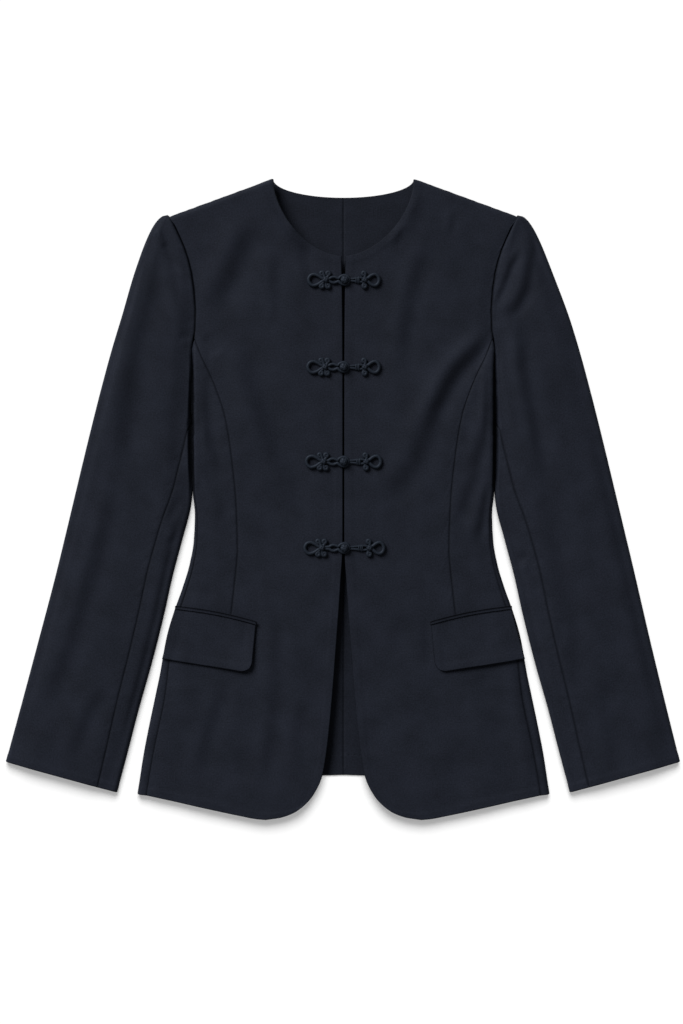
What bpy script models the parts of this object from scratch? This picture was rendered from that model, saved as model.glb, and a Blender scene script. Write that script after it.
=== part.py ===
"""Frog closure blazer, laid flat on its back.

The jacket lies in the XY plane with +Z up: +Y runs to the neck and +X to the wearer's
left, which is the right of the picture. The origin is under the middle of its outline.
Every piece of cloth is a wall of one thickness over a section that is worked out from the
tables below. Sizes are in millimetres until the last step.
"""

import math

import bmesh
import bpy
import numpy as np

MM = 0.001

# Cloth and seams
CLOTH = 1.6
SEAM_GAP = 0.3
FOLD_RADIUS = 4.5
LAY_GAP = 0.5
FLAP_CLOTH = 2.2
WELT_CLOTH = 1.8

# Body
NECK_HALF = 77.0
NECK_HEIGHT = 350.6
FRONT_NECK_DROP = 84.8
FRONT_NECK_POWER = 1.77
BACK_NECK_DROP = 20.3
SHOULDER_HALF = 190.0
SHOULDER_HEIGHT = 309.4
UNDERARM_HEIGHT = 164.0
POCKET_HEIGHT = -125.4
SIDE_HEM_HEIGHT = -322.3

# Half width of the body to its side fold: height, half width
SIDE_FOLD = (
    (360.0, 270.0), (309.4, 206.0), (297.0, 196.0), (274.0, 183.0), (254.0, 176.0),
    (229.0, 171.5), (208.0, 169.5), (184.0, 168.0), (164.0, 166.0), (131.0, 165.0),
    (10.0, 165.0), (-17.6, 162.8), (-45.1, 163.9), (-71.5, 168.5), (-97.9, 176.5),
    (-124.3, 186.0), (-150.7, 193.6), (-190.3, 200.8), (-243.1, 211.8), (-282.7, 219.5),
    (-322.3, 225.5),
)

# Armhole seam, down from the shoulder tip to the side fold: height, distance round the section
ARMHOLE = (
    (311.7, 191.2), (308.6, 189.6), (301.0, 185.4), (292.0, 181.0), (283.0, 176.9),
    (274.0, 173.2), (262.0, 169.2), (247.0, 165.6), (229.0, 163.1), (208.0, 161.6),
    (184.0, 162.3), (174.0, 163.2), (164.0, 168.6),
)

# Princess seam, from the armhole to the pocket, and its line on to the hem: height, distance
PRINCESS_TOP = 174.0
PRINCESS = (
    (174.0, 162.2), (164.0, 158.6), (125.0, 141.0), (90.0, 129.4), (46.0, 122.2),
    (-7.7, 117.0), (-56.0, 115.6), (-82.5, 117.8), (-125.4, 122.5), (-190.0, 129.0),
    (-322.3, 140.0),
)

# Side seam: height, distance round the section from the start of the side fold
SIDE_SEAM = (
    (164.0, 7.07), (60.0, 5.0), (-60.0, 0.5), (-177.0, -3.2), (-230.0, -6.5),
    (-274.0, -6.0), (-322.3, -5.4),
)

# Centre front edge, flaring under the last frog into the cutaway corner: height, half gap
FRONT_EDGE = (
    (360.0, 1.7), (262.0, 1.7), (236.0, 1.0), (-61.6, 1.0), (-88.0, 3.9), (-155.0, 9.9),
    (-265.0, 18.5), (-302.5, 24.0), (-324.5, 34.0), (-341.0, 50.6), (-348.0, 67.0),
    (-350.9, 85.0),
)

# Front hem from its lowest point to the side: height, half width
FRONT_HEM = (
    (-350.9, 85.0), (-350.0, 95.0), (-347.0, 111.0), (-338.3, 152.0), (-328.9, 194.0),
    (-322.3, 225.5),
)

# Back hem from the centre back to the side: height, half width
BACK_HEM = (
    (-302.5, 0.2), (-304.5, 60.0), (-310.0, 140.0), (-318.0, 200.0), (-322.3, 218.0),
)

# Outer edge of the sleeve, round the head and down to the cuff: height, half width
SLEEVE_OUTER = (
    (311.0, 192.5), (309.8, 196.6), (306.9, 200.8), (300.3, 206.3), (284.9, 214.5),
    (258.5, 225.0), (218.9, 238.7), (166.1, 255.2), (113.3, 269.5), (60.5, 282.7),
    (7.7, 295.4), (-45.1, 308.0), (-111.1, 324.0), (-177.1, 340.5), (-229.9, 354.0),
    (-287.6, 369.0),
)

# Inner edge of the sleeve under the armhole: height, half width
SLEEVE_INNER = (
    (164.0, 166.8), (131.0, 166.5), (95.0, 166.8), (60.0, 166.8), (25.0, 166.8),
    (-5.5, 167.0), (-45.0, 176.5), (-84.7, 187.0), (-124.3, 195.8), (-177.1, 209.0),
    (-229.9, 223.9), (-282.7, 237.6), (-321.2, 248.0),
)

# Sections across the sleeve: height on the outer edge, height on the inner edge
SLEEVE_SECTIONS = (
    (309.8, 308.6), (305.0, 301.0), (296.5, 292.0), (290.0, 283.0), (282.5, 274.0),
    (274.0, 262.0), (261.0, 247.0), (246.0, 229.0), (228.0, 208.0), (207.5, 184.0),
    (198.0, 174.0), (188.5, 164.0), (157.0, 131.0), (122.0, 95.0), (88.5, 60.0),
    (55.0, 25.0), (27.0, -5.5), (-11.5, -45.0), (-50.5, -84.7), (-90.0, -124.3),
    (-142.8, -177.1), (-195.5, -229.9), (-248.5, -282.7), (-287.6, -321.2),
)

# Front seam of the sleeve: height on the inner edge, distance from that edge over the top
SLEEVE_SEAM = (
    (320.0, 0.0), (72.0, 0.0), (48.0, 12.0), (10.0, 26.0), (-30.0, 31.0), (-84.7, 30.5),
    (-156.0, 29.5), (-237.0, 27.0), (-321.2, 24.0),
)
SLEEVE_WRAP = 12.0
SLEEVE_WRAP_SHARE = 0.45
SLEEVE_RADIUS_SHARE = 0.4

# Height over the underarm at which the armhole and the sleeve's tube are fully open
ARMHOLE_OPENS = 20.0

# Extra rows of the pattern, where its edges turn quickly: heights
NECK_ROWS = (352.3, 347.0, 340.0, 331.0, 321.0)
FRONT_NECK_ROWS = (270.5, 267.4, 265.9)
BACK_NECK_ROWS = (352.3, 347.0, 340.0, 334.5, 331.5, 330.5, 330.25, 321.0)
FRONT_HEM_ROWS = (-328.5, -334.5, -340.5, -345.5, -349.0, -350.6)
BACK_HEM_ROWS = (-302.4, -303.3, -304.5, -307.0, -310.5, -316.0)
BACK_HEM_SPACE = 2.4

# Steps between a row's points: the fold's own, and the strip of a piece beside its fold
FOLD_STEPS = 4
FRONT_STEPS = 7
SIDE_STEPS = 3
BACK_STEPS = 5
HEM_SPLIT = 0.6
BACK_STRIP = 12.0
BACK_STRIP_SHARE = 0.4
UPPER_LEAD = 4.0
UPPER_LEAD_SHARE = 0.35
UNDER_LEAD = 6.0
UNDER_LEAD_SHARE = 0.3
UNDER_BEND_SHARE = 0.6

# Loft of the lying cloth over its folds
BODY_LOFT = 2.4
CHEST_LOFT = 1.8
CHEST_X = 88.0
CHEST_Y = 95.0
CHEST_SPREAD = 85.0
SLEEVE_LOFT = 2.6
SLEEVE_LOFT_LENGTH = 80.0

# Largest folds of the fronts: start x, start y, end x, end y, half width, rise
FRONT_FOLDS = (
    (158.0, 165.0, 66.0, 22.0, 12.0, -1.0),
    (132.0, 172.0, 52.0, 60.0, 15.0, 1.4),
    (160.0, 118.0, 100.0, 10.0, 14.0, 1.0),
    (50.0, 282.0, 38.0, 170.0, 11.0, 1.0),
    (116.0, 290.0, 128.0, 190.0, 14.0, 1.1),
    (150.0, -150.0, 168.0, -318.0, 15.0, 1.2),
    (95.0, -200.0, 104.0, -335.0, 13.0, 1.1),
    (45.0, -120.0, 55.0, -330.0, 12.0, 0.8),
)
FOLD_FADE = 1.6
SIDE_FADE = 6.0

# Pocket: corners of the flap's top line and foot, and the corner radius at the front
FLAP_TOP_FRONT = (95.5, -138.4)
FLAP_TOP_SIDE = (184.0, -121.3)
FLAP_FOOT_SIDE = (198.3, -174.9)
FLAP_FOOT_HEIGHT = -188.6
FLAP_CORNER = 13.0
FLAP_CORNER_SHARE = 0.14
POCKET_BOW = 2.4
FLAP_FOOT_FRONT = 99.0
WELT_DEPTH = 4.2
WELT_PAST_FLAP = 0.8

# Frogs: height, reach of the loop half, reach of the button half, place of the knot
FROGS = (
    (239.0, -40.2, 40.8, 1.2),
    (144.0, -41.0, 41.0, 0.2),
    (40.7, -42.5, 42.5, 0.2),
    (-53.5, -44.3, 46.0, 1.0),
)
CORD_RADIUS = 1.8
BUTTON_CORD_RADIUS = 1.2
STEM_CORD_RADIUS = 1.1
CORD_SIDES = 6
LOOP_STEPS = 16
BUTTON_LOOP_STEPS = 18
CURVE_FINENESS = 12
BEAD_STEPS = (8, 4)
KNOT_STEPS = (10, 6)
KNOT_RADIUS = 4.6
KNOT_HALF_HEIGHT = 3.6
CORD_GAP = 0.4
FLOWER_RADIUS = 3.3
FLOWER_HALF_HEIGHT = 2.64
PETAL_RADIUS = 4.1
PETAL_HALF_HEIGHT = 2.2
LOOP_FLOWER_REACH = 20.7
BUTTON_FLOWER_REACH = 17.6
LOOP_HALF_WIDTH = 7.2
LOOP_START = 1.0
LOOP_EGG = 0.22
LOOP_TAPER = 0.2
STEM_NEAR = 1.6
STEM_FAR = 2.1
STEM_START = 1.0

# Petals round a flower's middle: x, y
LOOP_HALF_PETALS = ((-3.4, 6.4), (2.8, 6.5), (-3.6, -6.4), (2.7, -6.5))
BUTTON_HALF_PETALS = ((-1.0, 6.6), (-0.4, -6.6))

# Button loop round the knot, upper half: x, y
BUTTON_LOOP = (
    (-18.6, 1.7), (-12.0, 4.0), (-6.8, 3.9), (-1.6, 5.4), (3.7, 4.2),
)
BUTTON_LOOP_TIP = 5.7
BUTTON_LOOP_REAR = -19.6
BUTTON_LOOP_NECK = -5.0
BUTTON_LOOP_OVERLAP = 1.4
BUTTON_RISE_START = -14.0
BUTTON_RISE_LENGTH = 11.0

NAVY = (0.0125, 0.0145, 0.0215)
SUITING_ROUGHNESS = 0.85
CORD_NAVY = (0.0085, 0.0095, 0.0150)
CORD_ROUGHNESS = 0.6
SHARP_ANGLE = 40.0


def smooth(table, height, column=1):
    """Read a column of a table at a height, on a curve that never overshoots its rows."""
    rows = sorted(table)
    h = np.array([row[0] for row in rows])
    v = np.array([row[column] for row in rows])
    height = min(max(height, h[0]), h[-1])
    slope = np.diff(v) / np.diff(h)
    tangent = np.zeros(len(h))
    tangent[0] = slope[0]
    tangent[-1] = slope[-1]
    for k in range(1, len(h) - 1):
        if slope[k - 1] * slope[k] > 0:
            tangent[k] = 2 * slope[k - 1] * slope[k] / (slope[k - 1] + slope[k])
    k = min(int(np.searchsorted(h, height, side="right")) - 1, len(h) - 2)
    step = h[k + 1] - h[k]
    s = (height - h[k]) / step
    blend = s * s * (3 - 2 * s)
    ease_in = s * (1 - s) ** 2
    ease_out = s * s * (s - 1)
    return v[k] + (v[k + 1] - v[k]) * blend + step * (ease_in * tangent[k] + ease_out * tangent[k + 1])


def straight(table, height):
    """Read a table between its rows by straight lines, so that two pieces share one edge."""
    rows = sorted(table)
    return float(np.interp(height, [row[0] for row in rows], [row[1] for row in rows]))


def unit(vector):
    return vector / max(np.linalg.norm(vector), 1e-9)


# Shoulder line of the pattern: the outline, moved out by what its fold takes up
SHOULDER_RUN = np.array([SHOULDER_HALF - NECK_HALF, SHOULDER_HEIGHT - NECK_HEIGHT])
SHOULDER_OUT = unit(np.array([-SHOULDER_RUN[1], SHOULDER_RUN[0]]))
FOLD_TAKE = (math.pi / 2 - 1) * FOLD_RADIUS


def shoulder_depth(x, y):
    """Distance of a pattern point inside the pattern's shoulder line."""
    from_neck = np.array([x - NECK_HALF, y - NECK_HEIGHT])
    return FOLD_TAKE - float(from_neck @ SHOULDER_OUT)


def shoulder_x(y, depth):
    """Half width at which a row of the pattern is a given depth inside the shoulder line."""
    rest = FOLD_TAKE - depth - (y - NECK_HEIGHT) * SHOULDER_OUT[1]
    return NECK_HALF + rest / SHOULDER_OUT[0]


def body_half(y):
    return smooth(SIDE_FOLD, y)


def fold_rise(x, y, folds):
    """Sum of soft ridges and troughs, each along its own line."""
    rise = 0.0
    for start_x, start_y, end_x, end_y, half_width, height in folds:
        run = np.array([end_x - start_x, end_y - start_y])
        length = np.linalg.norm(run)
        along = ((x - start_x) * run[0] + (y - start_y) * run[1]) / length
        across = ((x - start_x) * run[1] - (y - start_y) * run[0]) / length
        past = max(-along, along - length, 0.0)
        rise += height * math.exp(-(across / half_width) ** 2 - (past / (FOLD_FADE * half_width)) ** 2)
    return rise


def top_height(x, y):
    """Height of the upper layer's face: twice the fold radius, with loft and folds."""
    flat = body_half(y) - FOLD_RADIUS
    share = min(abs(x) / flat, 1.0)
    fade = math.cos(share * math.pi / 2) ** 2
    chest = CHEST_LOFT * math.exp(-((x - CHEST_X) ** 2 + (y - CHEST_Y) ** 2) / CHEST_SPREAD ** 2)
    edge = min((1.0 - share) * SIDE_FADE, 1.0)
    edge = edge * edge * (3 - 2 * edge)
    return 2 * FOLD_RADIUS + BODY_LOFT * fade + (chest + fold_rise(x, y, FRONT_FOLDS)) * edge


def body_point(around, y):
    """Point of the body's outer face: over the top, round the side fold and back below."""
    flat = body_half(y) - FOLD_RADIUS
    bend = math.pi * FOLD_RADIUS
    if around < flat:
        x = around
        z = top_height(x, y)
    elif around < flat + bend:
        angle = (around - flat) / FOLD_RADIUS
        x = flat + FOLD_RADIUS * math.sin(angle)
        z = FOLD_RADIUS * (1 + math.cos(angle))
    else:
        x = 2 * flat + bend - around
        z = 0.0
    depth = shoulder_depth(x, y)
    if depth < math.pi / 2 * FOLD_RADIUS:
        angle = depth / FOLD_RADIUS
        inside = FOLD_RADIUS * (1 - math.cos(angle))
        shift = (depth - FOLD_TAKE - inside) * SHOULDER_OUT
        z = FOLD_RADIUS + (z - FOLD_RADIUS) * math.sin(angle)
        x += shift[0]
        y += shift[1]
    return np.array([x, y, z])


def below(x, y):
    """Distance round the section of a point of the lower layer."""
    return 2 * (body_half(y) - FOLD_RADIUS) + math.pi * FOLD_RADIUS - x


def front_neck_x(y):
    drop = min(max(NECK_HEIGHT - y, 0.0) / FRONT_NECK_DROP, 1.0)
    return NECK_HALF * (1 - drop ** FRONT_NECK_POWER) ** (1 / FRONT_NECK_POWER)


def back_neck_x(y):
    drop = min(max(NECK_HEIGHT - y, 0.0) / BACK_NECK_DROP, 1.0)
    return NECK_HALF * math.sqrt(1 - drop ** 2)


def side_seam(y):
    return body_half(y) - FOLD_RADIUS + smooth(SIDE_SEAM, y)


def spread(start, end, count):
    """Evenly spaced values from start to end, count steps."""
    return list(np.linspace(start, end, count + 1))


def chain(*stops):
    """Values through several stops: (first, (next, steps), ...)."""
    values = [stops[0]]
    for end, steps in stops[1:]:
        values += spread(values[-1], end, steps)[1:]
    return values


ARMHOLE_ROWS = [row[0] for row in ARMHOLE]
BODY_ROWS = chain(UNDERARM_HEIGHT, (-61.6, 11), (POCKET_HEIGHT, 3), (SIDE_HEM_HEIGHT, 9))[1:]


def front_right_end(y):
    """Outer end of a front's row above the pocket."""
    half_gap = SEAM_GAP / 2
    if y > ARMHOLE_ROWS[0]:
        return shoulder_x(y, half_gap)
    if y > PRINCESS_TOP:
        return straight(ARMHOLE, y) - half_gap
    return smooth(PRINCESS, y) - half_gap


def front_rows():
    """Rows of a front, neck to hem: lists of (distance round the section, height)."""
    upper = [y for y in BODY_ROWS if y > POCKET_HEIGHT]
    upper += [*NECK_ROWS, *ARMHOLE_ROWS, *FRONT_NECK_ROWS]
    upper.sort(reverse=True)
    rows = []
    for y in upper:
        left = max(front_neck_x(y), smooth(FRONT_EDGE, y))
        rows.append([(a, y) for a in spread(left, front_right_end(y), FRONT_STEPS)])
    lower = [y for y in BODY_ROWS if y <= POCKET_HEIGHT] + list(FRONT_HEM_ROWS)
    for y in lower:
        left = smooth(FRONT_EDGE, y)
        if y >= SIDE_HEM_HEIGHT:
            split = smooth(PRINCESS, y) - SEAM_GAP / 2
            right = side_seam(y) - SEAM_GAP / 2
        else:
            hem = smooth(FRONT_HEM, y)
            right = min(hem, side_seam(SIDE_HEM_HEIGHT) - SEAM_GAP / 2)
            split = left + (right - left) * HEM_SPLIT
        inner = spread(left, split, FRONT_STEPS)
        outer = spread(split, right, SIDE_STEPS)[1:]
        rows.append([(a, y) for a in inner + outer])
    return rows


def side_front_rows():
    rows = []
    heights = [PRINCESS_TOP, UNDERARM_HEIGHT] + [y for y in BODY_ROWS if y > POCKET_HEIGHT]
    heights.append(POCKET_HEIGHT + SEAM_GAP)
    for y in heights:
        left = smooth(PRINCESS, y) + SEAM_GAP / 2
        right = side_seam(y) if y <= UNDERARM_HEIGHT else straight(ARMHOLE, y)
        rows.append([(a, y) for a in spread(left, right - SEAM_GAP / 2, SIDE_STEPS)])
    return rows


def back_rows():
    """Rows of a back, from the side seam or armhole round the fold to the centre back."""
    bend = math.pi * FOLD_RADIUS
    rows = []
    heights = [*BACK_NECK_ROWS, *ARMHOLE_ROWS, *BODY_ROWS]
    heights = [y for y in heights if y > BACK_HEM_ROWS[0] + BACK_HEM_SPACE]
    heights += [*BACK_HEM_ROWS, SIDE_HEM_HEIGHT]
    for y in heights:
        if y > BACK_HEM[0][0]:
            centre = below(max(back_neck_x(y), SEAM_GAP / 2), y)
        else:
            centre = below(max(smooth(BACK_HEM, y), SEAM_GAP / 2), y)
        if y > ARMHOLE_ROWS[0]:
            start = below(shoulder_x(y, SEAM_GAP / 2), y)
        elif y > UNDERARM_HEIGHT:
            start = armhole_below(y) + SEAM_GAP / 2
        else:
            start = side_seam(y) + SEAM_GAP / 2
        width = centre - start
        open_end = start + min(BACK_STRIP, BACK_STRIP_SHARE * width)
        closed_end = body_half(y) - FOLD_RADIUS + bend
        blend = min(max((y - UNDERARM_HEIGHT) / ARMHOLE_OPENS, 0.0), 1.0)
        middle = closed_end + (open_end - closed_end) * blend
        rows.append([(a, y) for a in chain(start, (middle, FOLD_STEPS), (centre, BACK_STEPS))])
    return rows


def armhole_below(y):
    """The armhole on the lower layer, which meets the upper one at the side fold."""
    start = UNDERARM_HEIGHT
    end = UNDERARM_HEIGHT + ARMHOLE_OPENS
    if y >= end:
        return below(straight(ARMHOLE, y), y)
    fold_middle = body_half(start) - FOLD_RADIUS + math.pi / 2 * FOLD_RADIUS
    flat_start = below(straight(ARMHOLE, end), end)
    share = (y - start) / (end - start)
    return fold_middle + (flat_start - fold_middle) * share


class SleeveSection:
    """One section across the sleeve, from its inner edge over the top and back below."""

    def __init__(self, position):
        """Position counts the rows of SLEEVE_SECTIONS."""
        count = len(SLEEVE_SECTIONS)
        index = list(enumerate(SLEEVE_SECTIONS))
        outer_y = smooth([(k, row[0]) for k, row in index], min(position, count - 1))
        inner_y = smooth([(k, row[1]) for k, row in index], min(position, count - 1))
        self.height = inner_y
        if inner_y >= UNDERARM_HEIGHT + ARMHOLE_OPENS:
            inner_x = straight(ARMHOLE, inner_y) + SEAM_GAP
            self.opening = math.pi / 2
        elif inner_y > UNDERARM_HEIGHT:
            share = (inner_y - UNDERARM_HEIGHT) / ARMHOLE_OPENS
            start = straight(ARMHOLE, UNDERARM_HEIGHT + ARMHOLE_OPENS) + SEAM_GAP
            inner_x = SLEEVE_INNER[0][1] + (start - SLEEVE_INNER[0][1]) * share
            self.opening = math.pi / 2 * share
        else:
            inner_x = smooth(SLEEVE_INNER, inner_y)
            self.opening = 0.0
        self.inner = np.array([inner_x, inner_y])
        outer = np.array([smooth(SLEEVE_OUTER, outer_y), outer_y])
        self.length = np.linalg.norm(outer - self.inner)
        self.across = unit(outer - self.inner)
        self.radius = min(FOLD_RADIUS, SLEEVE_RADIUS_SHARE * self.length)
        self.bend = self.radius * (math.pi / 2 - self.opening)
        self.inset = self.radius * math.cos(self.opening)
        self.flat = self.length - self.inset - self.radius
        self.top_end = self.bend + self.flat
        self.fold_end = self.top_end + math.pi * self.radius
        self.bottom_end = self.fold_end + self.flat
        self.total = self.bottom_end + self.bend

    def loft(self, lateral):
        share = min(max((lateral - self.inset) / self.flat, 0.0), 1.0)
        full = min(self.length / SLEEVE_LOFT_LENGTH, 1.0)
        return SLEEVE_LOFT * full * math.sin(share * math.pi) ** 2

    def point(self, around):
        r = self.radius
        if self.opening == 0.0 and around > self.total:
            around -= self.total
        if around < self.bend:
            angle = self.opening + around / r
            lateral = self.inset - r * math.cos(angle)
            z = r * math.sin(angle)
        elif around < self.top_end:
            lateral = self.inset + around - self.bend
            z = r + self.loft(lateral)
        elif around < self.fold_end:
            angle = (around - self.top_end) / r
            lateral = self.length - r + r * math.sin(angle)
            z = r * math.cos(angle)
        elif around < self.bottom_end:
            lateral = self.length - r - (around - self.fold_end)
            z = -r
        else:
            angle = math.pi / 2 - (around - self.bottom_end) / r
            lateral = self.inset - r * math.cos(angle)
            z = -r * math.sin(angle)
        spot = self.inner + self.across * lateral
        return np.array([spot[0], spot[1], FOLD_RADIUS + z])

    def front_seam(self):
        return smooth(SLEEVE_SEAM, self.height)

    def back_seam(self):
        return self.fold_end + min(SLEEVE_WRAP, SLEEVE_WRAP_SHARE * self.flat)


def sleeve_point(around, position):
    return SleeveSection(position).point(around)


def upper_sleeve_rows():
    rows = []
    for k in range(len(SLEEVE_SECTIONS)):
        section = SleeveSection(k)
        start = section.front_seam() + (SEAM_GAP / 2 if section.opening == 0.0 else 0.0)
        lead = min(UPPER_LEAD, UPPER_LEAD_SHARE * (section.top_end - start))
        lead = max(section.bend - start, lead)
        end = section.back_seam() - SEAM_GAP / 2
        stops = ((start + lead, 2), (section.top_end, 5), (section.fold_end, FOLD_STEPS), (end, 1))
        rows.append([(a, k) for a in chain(start, *stops)])
    return rows


def under_sleeve_rows():
    rows = []
    for k in range(len(SLEEVE_SECTIONS)):
        section = SleeveSection(k)
        start = section.back_seam() + SEAM_GAP / 2
        end = section.total
        if section.opening == 0.0:
            end += section.front_seam() - SEAM_GAP / 2
        lead = min(UNDER_LEAD, UNDER_LEAD_SHARE * section.flat)
        fold_start = end - max(end - section.bottom_end, lead)
        bend = min(math.pi * section.radius, UNDER_BEND_SHARE * (end - fold_start))
        stops = ((fold_start, 4), (fold_start + bend, FOLD_STEPS), (end, 3))
        rows.append([(a, k) for a in chain(start, *stops)])
    return rows


def flap_edges(share):
    """Top and foot of the flap at a share of its width, from the front to the side."""
    run = np.array(FLAP_TOP_SIDE) - np.array(FLAP_TOP_FRONT)
    bow = POCKET_BOW * 4 * share * (1 - share)
    top = FLAP_TOP_FRONT + run * share + unit(np.array([-run[1], run[0]])) * bow
    centre = np.array([FLAP_FOOT_FRONT + FLAP_CORNER, FLAP_FOOT_HEIGHT + FLAP_CORNER])
    if share < FLAP_CORNER_SHARE:
        turn = share / FLAP_CORNER_SHARE * math.pi / 2
        foot = centre - FLAP_CORNER * np.array([math.cos(turn), math.sin(turn)])
    else:
        corner = np.array([centre[0], FLAP_FOOT_HEIGHT])
        past = (share - FLAP_CORNER_SHARE) / (1 - FLAP_CORNER_SHARE)
        foot = corner * (1 - past) + np.array(FLAP_FOOT_SIDE) * past
    return top, foot


def flap_point(share, drop):
    top, foot = flap_edges(share)
    x, y = top * (1 - drop) + foot * drop
    return np.array([x, y, top_height(x, y) + LAY_GAP + FLAP_CLOTH])


def welt_point(share, drop):
    top, foot = flap_edges(share)
    start = top[0] - WELT_PAST_FLAP * (1 - share)
    low = top[1] + SEAM_GAP
    y = low + WELT_DEPTH * (1 - drop)
    return np.array([start, y, top_height(start, y) + LAY_GAP + WELT_CLOTH])


def grid_rows(shares, drops):
    return [[(share, drop) for share in shares] for drop in drops]


FLAP_ROWS = grid_rows(chain(0.0, (FLAP_CORNER_SHARE, 4), (1.0, 5)), (0.0, 0.35, 0.7, 1.0))
WELT_ROWS = grid_rows(chain(0.0, (1.0, 7)), (0.0, 1.0))


def outward(place, u, v, faces_up):
    """Outward normal of a placed surface, from its slopes."""
    step = 0.02
    along_u = place(u + step, v) - place(u - step, v)
    along_v = place(u, v + step) - place(u, v - step)
    normal = unit(np.cross(along_u, along_v))
    return normal * faces_up


def material(name, colour, roughness):
    made = bpy.data.materials.get(name)
    if made is None:
        made = bpy.data.materials.new(name)
        made.use_nodes = True
        shader = made.node_tree.nodes["Principled BSDF"]
        shader.inputs["Base Color"].default_value = (*colour, 1.0)
        shader.inputs["Roughness"].default_value = roughness
        shader.inputs["Metallic"].default_value = 0.0
    return made


def add_object(name, mesh_data, surface):
    thing = bpy.data.objects.new(name, mesh_data)
    bpy.context.scene.collection.objects.link(thing)
    mesh_data.materials.append(surface)
    return thing


def wall(name, rows, place, thickness, side=1, facing=1):
    """A closed wall of cloth over rows of pattern points; side -1 mirrors it."""
    shell = bmesh.new()
    outer = []
    inner = []
    mirror = np.array([side, 1.0, 1.0]) * MM
    for row in rows:
        outer_row = []
        inner_row = []
        for u, v in row:
            spot = place(u, v)
            back = spot - outward(place, u, v, facing) * thickness
            outer_row.append(shell.verts.new(spot * mirror))
            inner_row.append(shell.verts.new(back * mirror))
        outer.append(outer_row)
        inner.append(inner_row)
    partner = {}
    for outer_row, inner_row in zip(outer, inner):
        for face_vert, back_vert in zip(outer_row, inner_row):
            partner[face_vert] = back_vert
    quads = []
    for upper, lower in zip(outer, outer[1:]):
        for k in range(min(len(upper), len(lower)) - 1):
            quads.append((upper[k], upper[k + 1], lower[k + 1], lower[k]))
    for quad in quads:
        shell.faces.new(quad)
        shell.faces.new([partner[vert] for vert in reversed(quad)])
    rim = [edge for edge in shell.edges if len(edge.link_faces) == 1]
    for edge in rim:
        first, second = edge.verts
        if first in partner and second in partner:
            shell.faces.new((first, second, partner[second], partner[first]))
    bmesh.ops.recalc_face_normals(shell, faces=shell.faces)
    mesh_data = bpy.data.meshes.new(name)
    shell.to_mesh(mesh_data)
    shell.free()
    mesh_data.shade_smooth()
    mesh_data.set_sharp_from_angle(angle=math.radians(SHARP_ANGLE))
    return add_object(name, mesh_data, material("navy_suiting", NAVY, SUITING_ROUGHNESS))


def ring_path(control, steps):
    """Points evenly spaced on a smooth closed curve through a list of points."""
    control = [np.array(point, float) for point in control]
    count = len(control)
    fine = []
    for k in range(count):
        before, start, end, after = (control[(k + j - 1) % count] for j in range(4))
        for s in np.linspace(0, 1, CURVE_FINENESS, endpoint=False):
            fine.append(0.5 * (2 * start + (end - before) * s
                               + (2 * before - 5 * start + 4 * end - after) * s * s
                               + (3 * start - before - 3 * end + after) * s ** 3))
    fine = np.array(fine + [fine[0]])
    travelled = np.concatenate([[0.0], np.cumsum(np.linalg.norm(np.diff(fine, axis=0), axis=1))])
    at = np.linspace(0, travelled[-1], steps, endpoint=False)
    return np.array([[np.interp(a, travelled, fine[:, axis]) for axis in range(3)] for a in at])


def cord_ring(name, path, radius):
    """A closed ring of cord, swept along a closed path; radius may be one value a point."""
    tube = bmesh.new()
    rings = []
    count = len(path)
    radii = np.broadcast_to(radius, count)
    up = np.array([0.0, 0.0, 1.0])
    for k in range(count):
        heading = unit(path[(k + 1) % count] - path[k - 1])
        sideways = unit(np.cross(heading, up))
        rise = np.cross(sideways, heading)
        ring = []
        for j in range(CORD_SIDES):
            turn = 2 * math.pi * (j + 0.5) / CORD_SIDES
            offset = radii[k] * (math.cos(turn) * sideways + math.sin(turn) * rise)
            ring.append(tube.verts.new((path[k] + offset) * MM))
        rings.append(ring)
    for k in range(count):
        here = rings[k]
        ahead = rings[(k + 1) % count]
        for j in range(CORD_SIDES):
            beside = (j + 1) % CORD_SIDES
            tube.faces.new((here[j], here[beside], ahead[beside], ahead[j]))
    bmesh.ops.recalc_face_normals(tube, faces=tube.faces)
    mesh_data = bpy.data.meshes.new(name)
    tube.to_mesh(mesh_data)
    tube.free()
    mesh_data.shade_smooth()
    return add_object(name, mesh_data, material("corded_satin", CORD_NAVY, CORD_ROUGHNESS))


def bead(name, centre, radius, half_height, steps=BEAD_STEPS):
    """A flattened ball, with its steps around and up."""
    ball = bmesh.new()
    bmesh.ops.create_uvsphere(ball, u_segments=steps[0], v_segments=steps[1], radius=1.0)
    for vert in ball.verts:
        size = np.array([radius, radius, half_height])
        vert.co = (np.array(vert.co) * size + np.array(centre)) * MM
    mesh_data = bpy.data.meshes.new(name)
    ball.to_mesh(mesh_data)
    ball.free()
    mesh_data.shade_smooth()
    return add_object(name, mesh_data, material("corded_satin", CORD_NAVY, CORD_ROUGHNESS))


def fuse(base, others):
    """Join the crossing pieces of one frog half into one body."""
    for piece in others:
        piece.hide_render = True
        piece.display_type = "WIRE"
        join = base.modifiers.new("join_" + piece.name, "BOOLEAN")
        join.operation = "UNION"
        join.solver = "EXACT"
        join.object = piece
    return base


def cloth_under(x, y):
    """Height of the front's face under a frog, with the gap it keeps."""
    return top_height(abs(x), y) + CORD_GAP


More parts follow.
